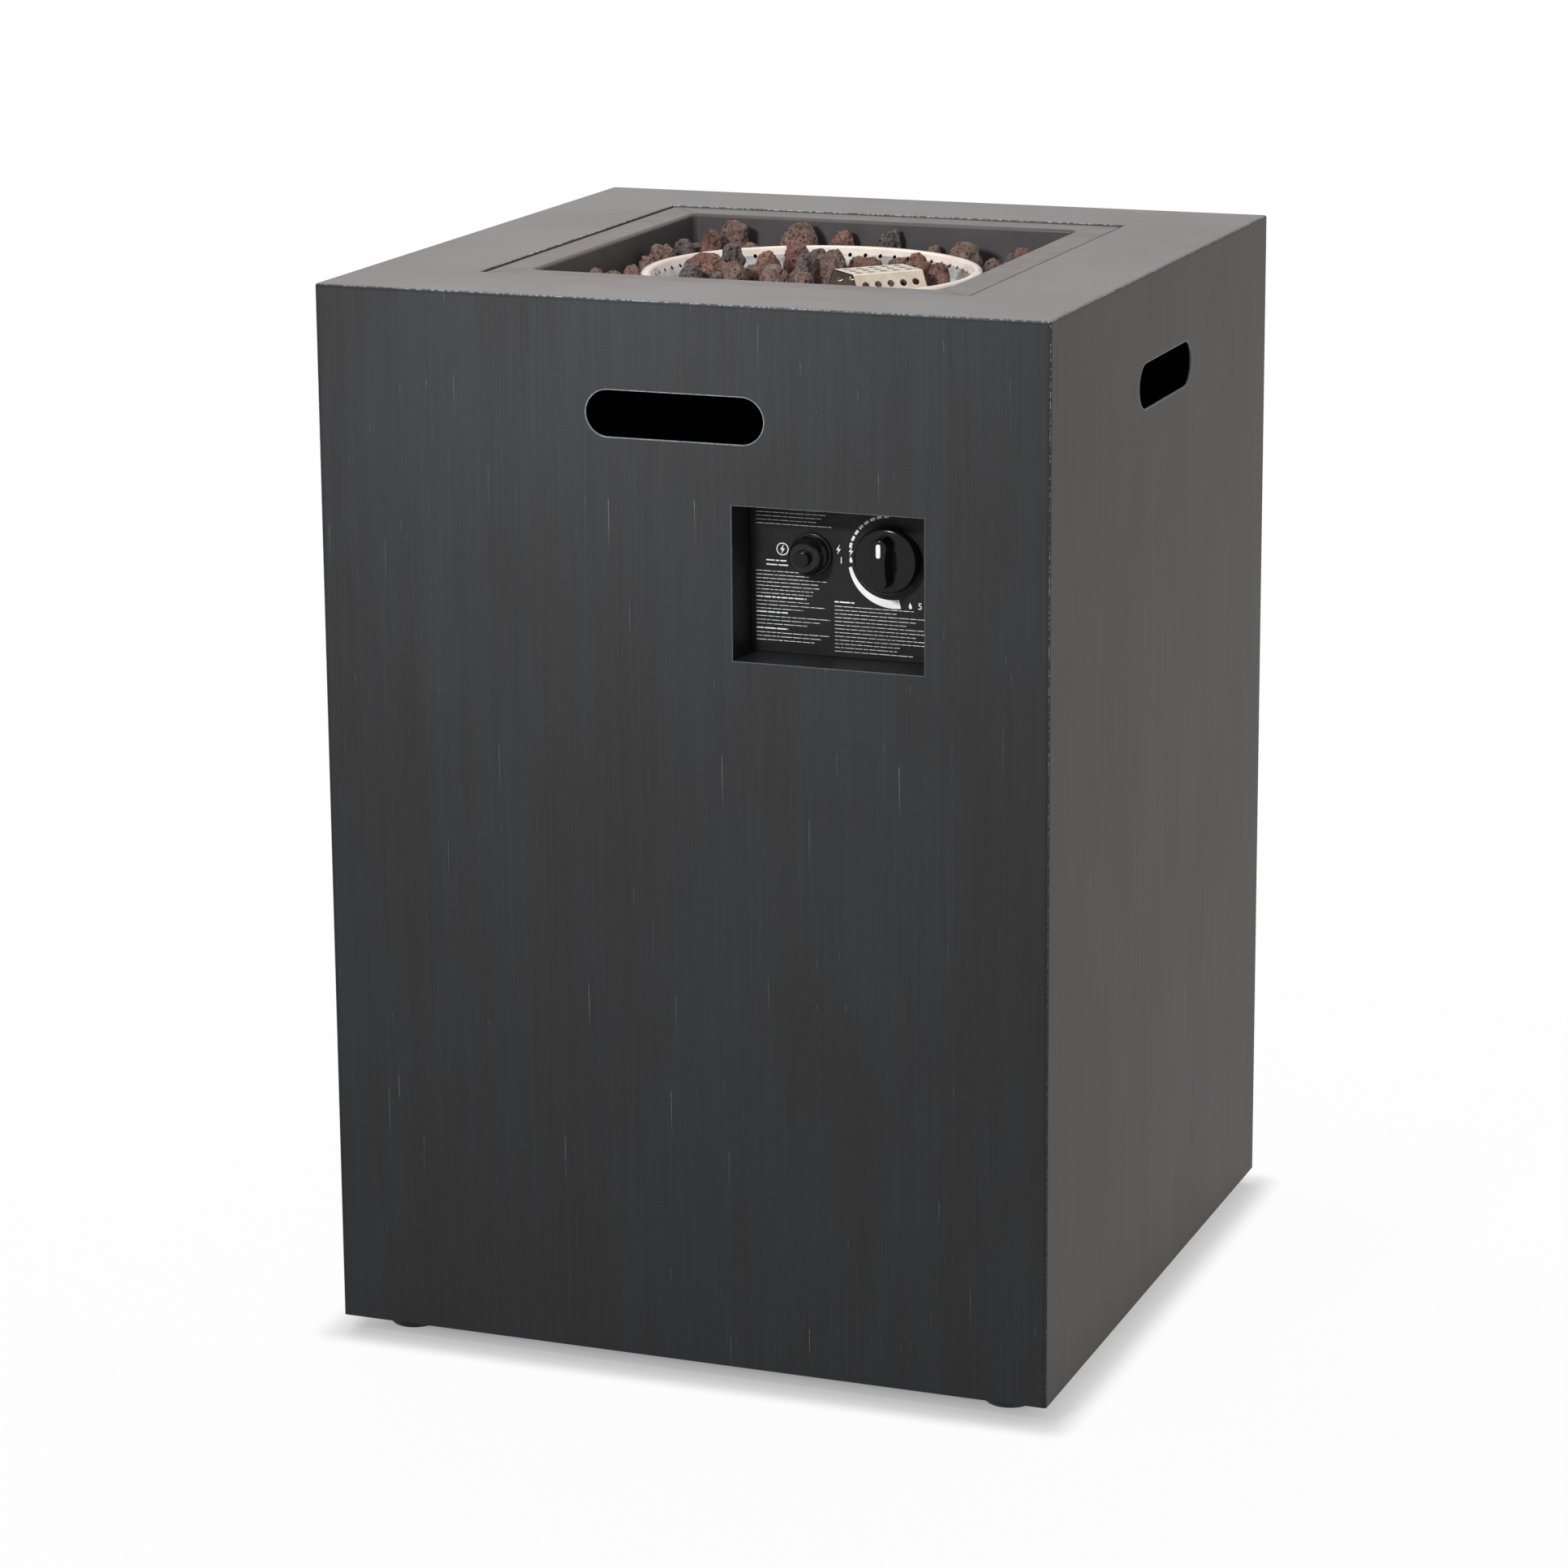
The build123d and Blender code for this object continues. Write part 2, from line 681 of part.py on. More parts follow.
bolt_shank = tray_sheet + spacer_height + shield_sheet + bolt_nut_height + screw_end
group(pan_screw(bolt_head_radius, bolt_head_height, bolt_radius, bolt_shank),
      corners(bolt_place, bolt_place, tray_floor), "shield_bolts")
group(hex_nut(bolt_nut_flats, bolt_nut_height, bolt_radius + thread_gap),
      corners(bolt_place, bolt_place, shield_top - shield_sheet - bolt_nut_height), "shield_nuts")

# Burner: a base plate and a dish whose raised ring is drilled on its inner wall
with BuildPart() as burner_base:
    with BuildSketch(Plane.XY.offset(tray_floor)):
        Circle(ring_radius + base_lip)
        Circle(inlet_radius + slip_gap, mode=Mode.SUBTRACT)
        with Locations(*sensor_places):
            Circle(sleeve_radius + thread_gap, mode=Mode.SUBTRACT)
    extrude(amount=burner_sheet)
write(burner_base, "burner_base")

half_sheet = burner_sheet / 2
ring_line_radius = ring_radius - half_sheet
wall_top_radius = ring_radius - ring_flat
wall_foot_radius = dish_floor_radius + dish_bend / 2
wall_radius = (wall_top_radius + wall_foot_radius) / 2
with BuildPart() as port_drill:
    with BuildSketch(Plane(origin=(wall_radius - ring_flat, 0, port_z), x_dir=(0, 1, 0), z_dir=(1, 0, 0))):
        RegularPolygon(port_radius, side_count=6)
    extrude(amount=2 * ring_flat)

with BuildPart() as burner_dish:
    with BuildSketch(Plane.XZ):
        with BuildLine():
            FilletPolyline((ring_line_radius, base_top), (ring_line_radius, ring_top - half_sheet),
                           (wall_top_radius, ring_top - half_sheet),
                           (wall_foot_radius, dish_floor - half_sheet),
                           (0, dish_floor - half_sheet), radius=[ring_bend, ring_bend, dish_bend])
        trace(line_width=burner_sheet)
    revolve(axis=Axis.Z)
    with BuildSketch(Plane.XY.offset(dish_floor - burner_sheet)):
        with Locations(*sensor_places):
            Circle(sleeve_radius + thread_gap)
        with Locations(*guard_screw_places):
            Circle(guard_screw_radius + thread_gap)
    extrude(amount=burner_sheet, mode=Mode.SUBTRACT)
    with PolarLocations(0, port_count):
        add(port_drill.part, mode=Mode.SUBTRACT)
write(burner_dish, "burner_dish")

# Threaded inlet of the burner, clamped through the tray
with BuildPart() as burner_inlet:
    disc(Plane.XY.offset(inlet_bottom), inlet_radius, base_top - inlet_bottom, inlet_bore_radius)
    disc(Plane.XY.offset(base_top), inlet_flange_radius, inlet_flange_height, inlet_bore_radius)
write(burner_inlet, "burner_inlet")

with BuildPart() as inlet_washer:
    disc(Plane.XY.offset(tray_under - washer_height), washer_radius, washer_height, inlet_radius + slip_gap)
write(inlet_washer, "inlet_washer")

with BuildPart() as inlet_nut:
    prism(Plane.XY.offset(tray_under - washer_height - inlet_nut_height), inlet_nut_flats, inlet_nut_height,
          inlet_radius + thread_gap)
write(inlet_nut, "inlet_nut")

# Air mixer: a tube with air windows, screwed on the inlet
with BuildPart() as air_mixer:
    disc(Plane.XY.offset(mixer_bottom), mixer_radius, mixer_length, mixer_bore_radius)
    rims = air_mixer.edges().filter_by(GeomType.CIRCLE).filter_by(lambda edge: edge.radius == mixer_radius)
    fillet(rims, mixer_edge)
    bore(Plane.XY.offset(mixer_top), inlet_radius + thread_gap, mixer_socket)
    with Locations(Plane.XY.offset(mixer_bottom + mixer_window_height)):
        with PolarLocations(0, 2, angular_range=90, endpoint=True):
            Cylinder(mixer_window_radius, 2 * (mixer_radius + overrun), rotation=(0, 90, 0),
                     mode=Mode.SUBTRACT)
    disc(Plane.XY.offset(mixer_bottom), mixer_bore_radius + overrun, jet_socket, jet_radius + thread_gap)
write(air_mixer, "air_mixer")

# Elbow that holds the gas jet under the mixer
branch_axis = Plane(origin=(0, 0, elbow_z), x_dir=(1, 0, 0), z_dir=(0, -1, 0))
branch_end = branch_axis.offset(elbow_branch_length)
with BuildPart() as orifice_fitting:
    disc(Plane.XY.offset(mixer_bottom), jet_radius, jet_length)
    chamfer(orifice_fitting.faces().sort_by(Axis.Z)[-1].edges(), jet_chamfer)
    prism(Plane.XY.offset(mixer_bottom - jet_collar_height), jet_collar_flats, jet_collar_height)
    with BuildSketch(Plane.XY.offset(elbow_z - elbow_size / 2)):
        Rectangle(elbow_size, elbow_size)
    extrude(amount=elbow_size)
    disc(branch_axis, elbow_branch_radius, elbow_branch_length)
    bore(Plane.XY.offset(mixer_bottom + jet_length), jet_hole_radius, jet_hole_depth)
    bore(branch_end, pipe_radius + thread_gap, pipe_socket)
write(orifice_fitting, "orifice_fitting")

# Perforated guard: a folded channel with open ends and a screwed tab on each side
guard_base = guard_centre + Vector(0, 0, dish_floor)
half_guard = guard_sheet / 2
slope_cos = cos(radians(guard_slope))
slope_sin = sin(radians(guard_slope))
line_foot = half_guard * slope_sin
line_top_half = guard_top_width / 2 - half_guard
line_foot_half = line_top_half + (guard_height - half_guard - line_foot) * tan(radians(guard_slope))
guard_end = Plane(origin=guard_base + guard_along * guard_length / 2, x_dir=guard_out, z_dir=-guard_along)
guard_crown = guard_base + Vector(0, 0, guard_height)
with BuildPart() as igniter_guard:
    with BuildSketch(guard_end):
        with BuildLine():
            FilletPolyline((-line_foot_half, line_foot), (-line_top_half, guard_height - half_guard),
                           (line_top_half, guard_height - half_guard), (line_foot_half, line_foot),
                           radius=guard_bend)
        trace(line_width=guard_sheet)
    extrude(amount=guard_length)
    with BuildSketch(Plane(origin=guard_base, x_dir=guard_out, z_dir=(0, 0, 1))):
        for side in (-1, 1):
            with Locations((side * (guard_foot_half + guard_tab_length / 2 - half_guard), 0)):
                Rectangle(guard_tab_length + guard_sheet, guard_tab_width)
            with Locations((side * (guard_foot_half + guard_tab_length / 2), 0)):
                Circle(guard_screw_radius + slip_gap, mode=Mode.SUBTRACT)
    extrude(amount=guard_sheet)
    with BuildSketch(Plane(origin=guard_crown, x_dir=guard_along, z_dir=(0, 0, 1))):
        with GridLocations(guard_hole_pitch, guard_rows_pitch, guard_hole_columns, guard_top_rows):
            Circle(guard_hole_radius)
    extrude(amount=-2 * guard_sheet, mode=Mode.SUBTRACT)
    for side in (-1, 1):
        outward = guard_out * side
        edge = guard_crown + outward * guard_top_width / 2
        normal = outward * slope_cos + Vector(0, 0, slope_sin)
        down = outward * slope_sin - Vector(0, 0, slope_cos)
        for row in range(guard_side_rows):
            row_place = edge + down * (guard_side_row + guard_rows_pitch * row)
            with BuildSketch(Plane(origin=row_place, x_dir=guard_along, z_dir=normal)):
                with GridLocations(guard_hole_pitch, 1, guard_hole_columns, 1):
                    Circle(guard_hole_radius)
            extrude(amount=-2 * guard_sheet, mode=Mode.SUBTRACT)
write(igniter_guard, "igniter_guard")

guard_shank = guard_sheet + burner_sheet + guard_screw_below
group(pan_screw(guard_head_radius, guard_head_height, guard_screw_radius, guard_shank),
      [(x, y, dish_floor + guard_sheet) for x, y in guard_screw_places], "guard_screws")

# Sleeves through the burner and the tray, with the spark rod in one and the flame probe in the other
sleeve_top = dish_floor + sleeve_above
sleeve_bottom = tray_under - sleeve_below
with BuildPart() as sensor_sleeve:
    disc(Plane.XY.offset(sleeve_bottom), sleeve_radius, sleeve_top - sleeve_bottom, sleeve_bore_radius)
    disc(Plane.XY.offset(dish_floor), sleeve_collar_radius, sleeve_collar_height, sleeve_bore_radius)
group(sensor_sleeve, [(x, y, 0) for x, y in sensor_places], "sensor_sleeves")

insulator_top = sleeve_top + insulator_above
insulator_bottom = sleeve_bottom - insulator_below
with BuildPart() as spark_insulator:
    spark_plane = Plane(origin=spark_place)
    disc(spark_plane.offset(insulator_bottom), insulator_radius, insulator_top - insulator_bottom)
    disc(spark_plane.offset(sleeve_top), sensor_collar_radius, sensor_collar_height)
    fillet(spark_insulator.faces().sort_by(Axis.Z)[-1].edges(), insulator_edge)
    bore(spark_plane.offset(insulator_top), spark_rod_radius + thread_gap, insulator_top - insulator_bottom)
write(spark_insulator, "spark_insulator")

rod_top = insulator_top + spark_rod_above
with BuildPart() as spark_rod:
    with BuildLine() as rod_line:
        FilletPolyline(spark_place + Vector(0, 0, insulator_bottom - spark_rod_below),
                       spark_place + Vector(0, 0, rod_top),
                       spark_place + guard_along * spark_rod_tip + Vector(0, 0, rod_top),
                       radius=spark_rod_bend)
    with BuildSketch(Plane(origin=rod_line.line @ 0, z_dir=rod_line.line % 0)):
        Circle(spark_rod_radius)
    sweep()
write(spark_rod, "spark_rod")

probe_bottom = sleeve_bottom - probe_below
with BuildPart() as flame_probe:
    probe_plane = Plane(origin=probe_place)
    disc(probe_plane.offset(probe_bottom), probe_radius, sleeve_top + sensor_collar_height - probe_bottom)
    disc(probe_plane.offset(sleeve_top), sensor_collar_radius, sensor_collar_height)
    disc(probe_plane.offset(sleeve_top), probe_tip_radius, probe_above)
    fillet(flame_probe.faces().sort_by(Axis.Z)[-1].edges(), probe_tip_radius * 0.6)
write(flame_probe, "flame_probe")

boot_bottom = insulator_bottom - boot_length
with BuildPart() as lead_boot:
    disc(spark_plane.offset(boot_bottom), boot_radius, boot_length)
    fillet(lead_boot.faces().sort_by(Axis.Z)[0].edges(), boot_edge)
    bore(spark_plane.offset(insulator_bottom), spark_rod_radius + thread_gap, spark_rod_below)
write(lead_boot, "lead_boot")


def recess_plane(depth):
    """Plane behind the front of the body, centred on the window."""
    return Plane(origin=(window_x, -body_depth / 2 + depth, window_z), x_dir=(1, 0, 0), z_dir=(0, -1, 0))


def control_holes(radius_round_bonnet, radius_round_igniter):
    """Holes for the valve bonnet, its screws and the igniter, on a plane centred on the window."""
    with Locations((knob_x - window_x, control_z - window_z)):
        Circle(radius_round_bonnet, mode=Mode.SUBTRACT)
        with Locations((-valve_screw_offset, 0), (valve_screw_offset, 0)):
            Circle(valve_screw_radius + thread_gap, mode=Mode.SUBTRACT)
    with Locations((igniter_x - window_x, control_z - window_z)):
        Circle(radius_round_igniter, mode=Mode.SUBTRACT)


# Recessed housing behind the window, held by four studs on the front panel
stud_x = window_width / 2 + housing_flange / 2
stud_z = window_height / 2 + housing_flange / 2
with BuildPart() as control_housing:
    with BuildSketch(recess_plane(sheet)):
        Rectangle(window_width + 2 * housing_sheet, window_height + 2 * housing_sheet)
    extrude(amount=sheet - recess_depth - plate_sheet)
    with BuildSketch(recess_plane(sheet)):
        Rectangle(window_width + 2 * housing_flange, window_height + 2 * housing_flange)
        with Locations(*[(x, z) for x, z, _ in corners(stud_x, stud_z)]):
            Circle(stud_radius + slip_gap, mode=Mode.SUBTRACT)
    extrude(amount=-housing_sheet)
    with BuildSketch(recess_plane(sheet)):
        Rectangle(window_width, window_height)
    extrude(amount=sheet - recess_depth - plate_sheet, mode=Mode.SUBTRACT)
    with BuildSketch(recess_plane(recess_depth + plate_sheet)):
        Rectangle(window_width + 2 * housing_sheet, window_height + 2 * housing_sheet)
        control_holes(bonnet_radius + slip_gap, igniter_radius + slip_gap)
    extrude(amount=-housing_sheet)
write(control_housing, "control_housing")

with BuildPart() as control_plate:
    with BuildSketch(recess_plane(recess_depth)):
        Rectangle(window_width - 2 * plate_gap, window_height - 2 * plate_gap)
        control_holes(bonnet_radius + slip_gap, igniter_radius + slip_gap)
    extrude(amount=-plate_sheet)
write(control_plate, "control_plate")

with BuildPart() as housing_studs:
    with BuildSketch(recess_plane(sheet)):
        with Locations(*[(x, z) for x, z, _ in corners(stud_x, stud_z)]):
            Circle(stud_radius)
    extrude(amount=-stud_length)
write(housing_studs, "housing_studs")

with BuildPart() as housing_nuts:
    with BuildSketch(recess_plane(sheet + housing_sheet)):
        with Locations(*[(x, z) for x, z, _ in corners(stud_x, stud_z)]):
            RegularPolygon(radius=stud_nut_flats / 2, side_count=6, major_radius=False)
            Circle(stud_radius + thread_gap, mode=Mode.SUBTRACT)
    extrude(amount=-stud_nut_height)
write(housing_nuts, "housing_nuts")

# Gas valve behind the housing: flange, barrel, outlet above, inlet below, magnet unit behind
port_y = plate_y + plate_back + valve_port_back
outlet_top = control_z + valve_outlet_height
magnet_back = plate_back + valve_depth + magnet_length
port_axis_up = Plane(origin=(knob_x, port_y, control_z))
port_axis_down = Plane(origin=(knob_x, port_y, control_z), x_dir=(1, 0, 0), z_dir=(0, 0, -1))
with BuildPart() as gas_valve:
    with BuildSketch(knob_plane(-plate_back - valve_flange_sheet)):
        RectangleRounded(valve_flange_length, valve_flange_width, valve_flange_corner)
        with Locations((-valve_screw_offset, 0), (valve_screw_offset, 0)):
            Circle(valve_screw_radius + thread_gap, mode=Mode.SUBTRACT)
    extrude(amount=valve_flange_sheet)
    disc(knob_plane(-plate_back - valve_depth), valve_radius, valve_depth - valve_flange_sheet)
    fillet(gas_valve.faces().sort_by(Axis.Y)[-1].edges(), valve_edge)
    disc(port_axis_up, valve_outlet_radius, valve_outlet_height)
    disc(port_axis_down, valve_inlet_radius, valve_inlet_height)
    disc(knob_plane(-magnet_back), magnet_radius, magnet_length + magnet_seat)
    spindle_bore_depth = spindle_below - plate_back + push_travel + overrun
    bore(knob_plane(-plate_back), spindle_radius + running_gap, spindle_bore_depth)
    bore(port_axis_up.offset(valve_outlet_height), pipe_radius + thread_gap, pipe_socket)
    for x in (-valve_screw_offset, valve_screw_offset):
        bore(front_plane(knob_x + x, control_z, -plate_back), valve_screw_radius + thread_gap,
             valve_screw_depth + overrun)
write(gas_valve, "gas_valve")

with BuildPart() as valve_bonnet:
    disc(knob_plane(-plate_back), bonnet_radius, plate_back + bonnet_height, spindle_radius + running_gap)
write(valve_bonnet, "valve_bonnet")

with BuildPart() as valve_screws:
    for x in (-valve_screw_offset, valve_screw_offset):
        disc(front_plane(knob_x + x, control_z), valve_head_radius, valve_head_height)
        disc(front_plane(knob_x + x, control_z, -plate_back - valve_screw_depth), valve_screw_radius,
             plate_back + valve_screw_depth)
write(valve_screws, "valve_screws")

with BuildPart() as valve_inlet:
    prism(port_axis_down.offset(valve_inlet_height), hose_hex_flats, hose_hex_height)
    disc(port_axis_down.offset(valve_inlet_height + hose_hex_height), hose_thread_radius, hose_thread_length)
    chamfer(valve_inlet.faces().sort_by(Axis.Z)[0].edges(), hose_chamfer)
    bore(port_axis_down.offset(valve_inlet_height + hose_hex_height + hose_thread_length), hose_bore_radius,
         hose_thread_length + hose_hex_height)
write(valve_inlet, "valve_inlet")


def spindle_section(radius, flat):
    """Round section with a flat on its right side."""
    Circle(radius)
    with Locations((flat, 0)):
        Rectangle(radius, 2 * radius, align=(Align.MIN, Align.CENTER), mode=Mode.SUBTRACT)


# Spindle, knob and return spring
flat_start = knob_boss_back - 0.5
with BuildPart() as valve_spindle:
    disc(knob_plane(-spindle_below), spindle_radius, spindle_below + flat_start)
    with BuildSketch(knob_plane(flat_start)):
        spindle_section(spindle_radius, spindle_flat)
    extrude(amount=spindle_above - flat_start)
write(valve_spindle, "valve_spindle")

seat_front = knob_ceiling - slip_gap
seat_back = seat_front - seat_sheet
with BuildPart() as spring_seat:
    disc(knob_plane(seat_back), seat_outer_radius, seat_sheet, seat_inner_radius)
write(spring_seat, "spring_seat")

coil(knob_plane(), knob_spring_radius, knob_spring_wire, knob_spring_turns, seat_back - thread_gap,
     "knob_spring")

knob_axis = Axis((knob_x, plate_y, control_z), (0, -1, 0))
knob_side = Plane(origin=(knob_x, plate_y, control_z), x_dir=(1, 0, 0), z_dir=(0, 0, -1))
band_top = (knob_radius, knob_lift + knob_band)
shoulder_middle = (knob_radius - knob_shoulder * 0.3, knob_skirt_top - knob_shoulder * 0.3)
shoulder_end = (knob_radius - knob_shoulder, knob_skirt_top)
grip_root = (knob_ceiling + knob_dome) / 2
with BuildPart() as control_knob:
    with BuildSketch(knob_side):
        with BuildLine():
            Polyline((0, knob_dome), (0, knob_lift), (knob_radius, knob_lift), band_top)
            ThreePointArc(band_top, shoulder_middle, shoulder_end)
            Polyline(shoulder_end, (knob_dome_radius, knob_dome), (0, knob_dome))
        make_face()
    revolve(axis=knob_axis)
    with BuildSketch(knob_plane(knob_ceiling)):
        Circle(knob_radius - knob_wall)
        Circle(knob_boss_radius, mode=Mode.SUBTRACT)
    extrude(amount=knob_lift - knob_ceiling, mode=Mode.SUBTRACT)
    bore(knob_plane(knob_boss_back), knob_boss_radius, knob_boss_back - knob_lift)
    with BuildSketch(knob_plane(grip_root)) as grip:
        SlotOverall(grip_length, grip_end_width, rotation=90)
        waist_place = grip_waist_width / 2 + grip_waist_curve
        with Locations((-waist_place, 0), (waist_place, 0)):
            Circle(grip_waist_curve, mode=Mode.SUBTRACT)
        fillet(grip.vertices(), grip_corner)
    extrude(amount=knob_height - grip_root, taper=grip_taper)
    fillet(control_knob.faces().sort_by(Axis.Y)[0].edges(), grip_edge)
    with BuildSketch(knob_plane(knob_height)):
        with Locations((0, pointer_centre)):
            SlotOverall(pointer_length, pointer_width, rotation=90)
    extrude(amount=-pointer_depth, mode=Mode.SUBTRACT)
    with BuildSketch(knob_plane(knob_boss_back)):
        spindle_section(spindle_radius + thread_gap, spindle_flat + thread_gap)
    extrude(amount=spindle_above + slip_gap - knob_boss_back, mode=Mode.SUBTRACT)
write(control_knob, "control_knob")

with BuildPart() as knob_pointer:
    with BuildSketch(knob_plane(knob_height - pointer_depth)):
        with Locations((0, pointer_centre)):
            SlotOverall(pointer_length - 2 * thread_gap, pointer_width - 2 * thread_gap, rotation=90)
    extrude(amount=pointer_depth + pointer_proud)
write(knob_pointer, "knob_pointer")

# Spark igniter: body through the plate, ring nut behind, battery under a screw cap with the push button
contact_back = neck_height + 2 * slip_gap
contact_front = contact_back + contact_sheet
battery_front = contact_back - slip_gap
battery_back = battery_front - battery_length
igniter_end = -plate_back - igniter_back
with BuildPart() as igniter_body:
    disc(igniter_plane(igniter_end), igniter_radius, -igniter_end)
    disc(igniter_plane(), igniter_flange_radius, igniter_flange_height)
    fillet(igniter_body.faces().sort_by(Axis.Y)[0].edges(), igniter_edge)
    disc(igniter_plane(igniter_flange_height), neck_radius, neck_height - igniter_flange_height)
    disc(igniter_plane(igniter_end - lead_boss_length), lead_radius + lead_boss_wall, lead_boss_length)
    bore(igniter_plane(neck_height), battery_radius + slip_gap,
         neck_height - battery_back + battery_spring_length)
write(igniter_body, "igniter_body")

with BuildPart() as igniter_nut:
    prism(igniter_plane(-plate_back - igniter_nut_height), igniter_nut_flats, igniter_nut_height,
          igniter_radius + thread_gap)
write(igniter_nut, "igniter_nut")

with BuildPart() as igniter_battery:
    disc(igniter_plane(battery_back), battery_radius, battery_length - battery_nub_length)
    disc(igniter_plane(battery_front - battery_nub_length), battery_nub_radius, battery_nub_length)
write(igniter_battery, "igniter_battery")

coil(igniter_plane(battery_back - battery_spring_length), battery_spring_radius, battery_spring_wire,
     battery_spring_turns, battery_spring_length - thread_gap, "battery_spring")

with BuildPart() as battery_contact:
    disc(igniter_plane(contact_back), neck_radius, contact_sheet)
write(battery_contact, "battery_contact")

cap_back = igniter_flange_height + slip_gap
cap_axis = Axis((igniter_x, plate_y, control_z), (0, -1, 0))
cap_side = Plane(origin=(igniter_x, plate_y, control_z), x_dir=(1, 0, 0), z_dir=(0, 0, -1))
with BuildPart() as igniter_cap:
    with BuildSketch(cap_side):
        with BuildLine():
            Polyline((0, cap_back), (cap_base_radius, cap_back),
                     (cap_base_radius, contact_front - cap_shoulder / 2),
                     (cap_base_radius - cap_shoulder, contact_front + cap_shoulder / 2),
                     (cap_front_radius + cap_edge / 2, cap_height - cap_edge),
                     (cap_front_radius - cap_edge / 2, cap_height), (0, cap_height), close=True)
        make_face()
    revolve(axis=cap_axis)
    bore(igniter_plane(contact_front), neck_radius + slip_gap, contact_front - cap_back)
    bore(igniter_plane(cap_height - cap_front_wall), cap_cavity_radius,
         cap_height - cap_front_wall - contact_front)
    bore(igniter_plane(cap_height), button_radius + slip_gap, cap_front_wall)
write(igniter_cap, "igniter_cap")

flange_front = cap_height - cap_front_wall - slip_gap
flange_back = flange_front - button_flange_height
with BuildPart() as igniter_button:
    disc(igniter_plane(flange_back), button_radius, button_height - flange_back)
    fillet(igniter_button.faces().sort_by(Axis.Y)[0].edges(), button_edge)
    disc(igniter_plane(flange_back), button_flange_radius, button_flange_height)
write(igniter_button, "igniter_button")

coil(igniter_plane(contact_front), button_spring_radius, button_spring_wire, button_spring_turns,
     flange_back - contact_front - thread_gap, "button_spring")

# Pipe from the valve to the jet, with a nut at each end
with BuildPart() as pipe_nuts:
    prism(branch_end, pipe_nut_flats, pipe_nut_height, pipe_radius + thread_gap)
    prism(port_axis_up.offset(valve_outlet_height), pipe_nut_flats, pipe_nut_height, pipe_radius + thread_gap)
write(pipe_nuts, "pipe_nuts")

pipe_rise = outlet_top + pipe_bow
tube([(0, pipe_socket - elbow_branch_length, elbow_z), (0, -elbow_branch_length - 38, elbow_z),
      (24, -98, elbow_z + 12), (60, -130, elbow_z + 24), (98, -163, pipe_rise), (knob_x, port_y, pipe_rise),
      (knob_x, port_y, outlet_top - pipe_socket)], pipe_radius, "gas_pipe")

# Leads from the spark igniter to the spark rod and from the magnet unit to the flame probe
tube([(spark_place.X, spark_place.Y, boot_bottom), (spark_place.X, spark_place.Y, boot_bottom - 24),
      (52, -58, 590), (67, -100, 565), (igniter_x, -134, control_z),
      (igniter_x, plate_y + lead_boss_length - igniter_end, control_z)], lead_radius, "ignition_lead")
tube([(probe_place.X, probe_place.Y, probe_bottom), (probe_place.X, probe_place.Y, probe_bottom - 26),
      (76, -38, 604), (102, -82, 575), (knob_x, -122, control_z), (knob_x, plate_y + magnet_back, control_z)],
     probe_lead_radius, "probe_lead")


@dataclass
class Rock:
    """A rock's place, half sizes in plan, turn in degrees, height and colour."""

    x: float
    y: float
    half_x: float
    half_y: float
    turn: float
    height: float
    colour: str

    def reach(self, dx, dy):
        """Half width of the outline along a unit direction."""
        turn = radians(self.turn)
        along = dx * cos(turn) + dy * sin(turn)
        across = dy * cos(turn) - dx * sin(turn)
        return hypot(self.half_x * along, self.half_y * across)

    def clear_of(self, other):
        """True if a straight line parts the two outlines with the gap between them."""
        dx, dy = other.x - self.x, other.y - self.y
        distance = hypot(dx, dy)
        if distance < 1.0:
            return False
        dx, dy = dx / distance, dy / distance
        return self.reach(dx, dy) + other.reach(dx, dy) + rock_gap <= distance

    def clear_of_strip(self, half_out, half_along):
        """True if the outline is clear of a rectangle centred on the guard and turned with it."""
        dx, dy = self.x - guard_centre.X, self.y - guard_centre.Y
        for axis, half in ((guard_out, half_out), (guard_along, half_along)):
            if abs(dx * axis.X + dy * axis.Y) >= self.reach(axis.X, axis.Y) + half + rock_gap:
                return True
        return False


def beside_ring(rock):
    """True if a rock stands on the tray between the burner and the tray walls."""
    distance = hypot(rock.x, rock.y)
    inner = distance - rock.reach(rock.x / distance, rock.y / distance)
    wall = tray_inside / 2 - rock_gap
    return (inner >= ring_radius + base_lip + rock_gap
            and abs(rock.x) + rock.reach(1, 0) <= wall and abs(rock.y) + rock.reach(0, 1) <= wall)


def in_dish(rock):
    """True if a rock stands on the floor of the dish, clear of its wall and of the guard."""
    reach = hypot(rock.x, rock.y) + max(rock.half_x, rock.half_y)
    return (reach <= dish_floor_radius
            and rock.clear_of_strip(guard_foot_half, guard_length / 2)
            and rock.clear_of_strip(guard_foot_half + guard_tab_length, guard_tab_width / 2))


def lay_rocks(listed, floor, bed, obstacles, fill_height, chance):
    """The listed rocks that fit the bed, then smaller ones dropped at random between them."""
    rocks = []
    for x, y, width, depth, drop, turn, colour in listed:
        rock = Rock(x, y, width / 2, depth / 2, turn, body_top - drop - floor, colour)
        if bed(rock) and all(rock.clear_of(other) for other in rocks + obstacles):
            rocks.append(rock)
        else:
            print("no room for the rock at", x, y)
    half_bed = tray_inside / 2
    for _ in range(fill_tries):
        x, y = chance.uniform(-half_bed, half_bed), chance.uniform(-half_bed, half_bed)
        half_x, half_y = chance.uniform(*fill_width) / 2, chance.uniform(*fill_width) / 2
        rock = Rock(x, y, half_x, half_y, chance.uniform(0, 180), chance.uniform(*fill_height),
                    chance.choice(("red", "brown", "grey")))
        if bed(rock) and all(rock.clear_of(other) for other in rocks + obstacles):
            rocks.append(rock)
    return rocks


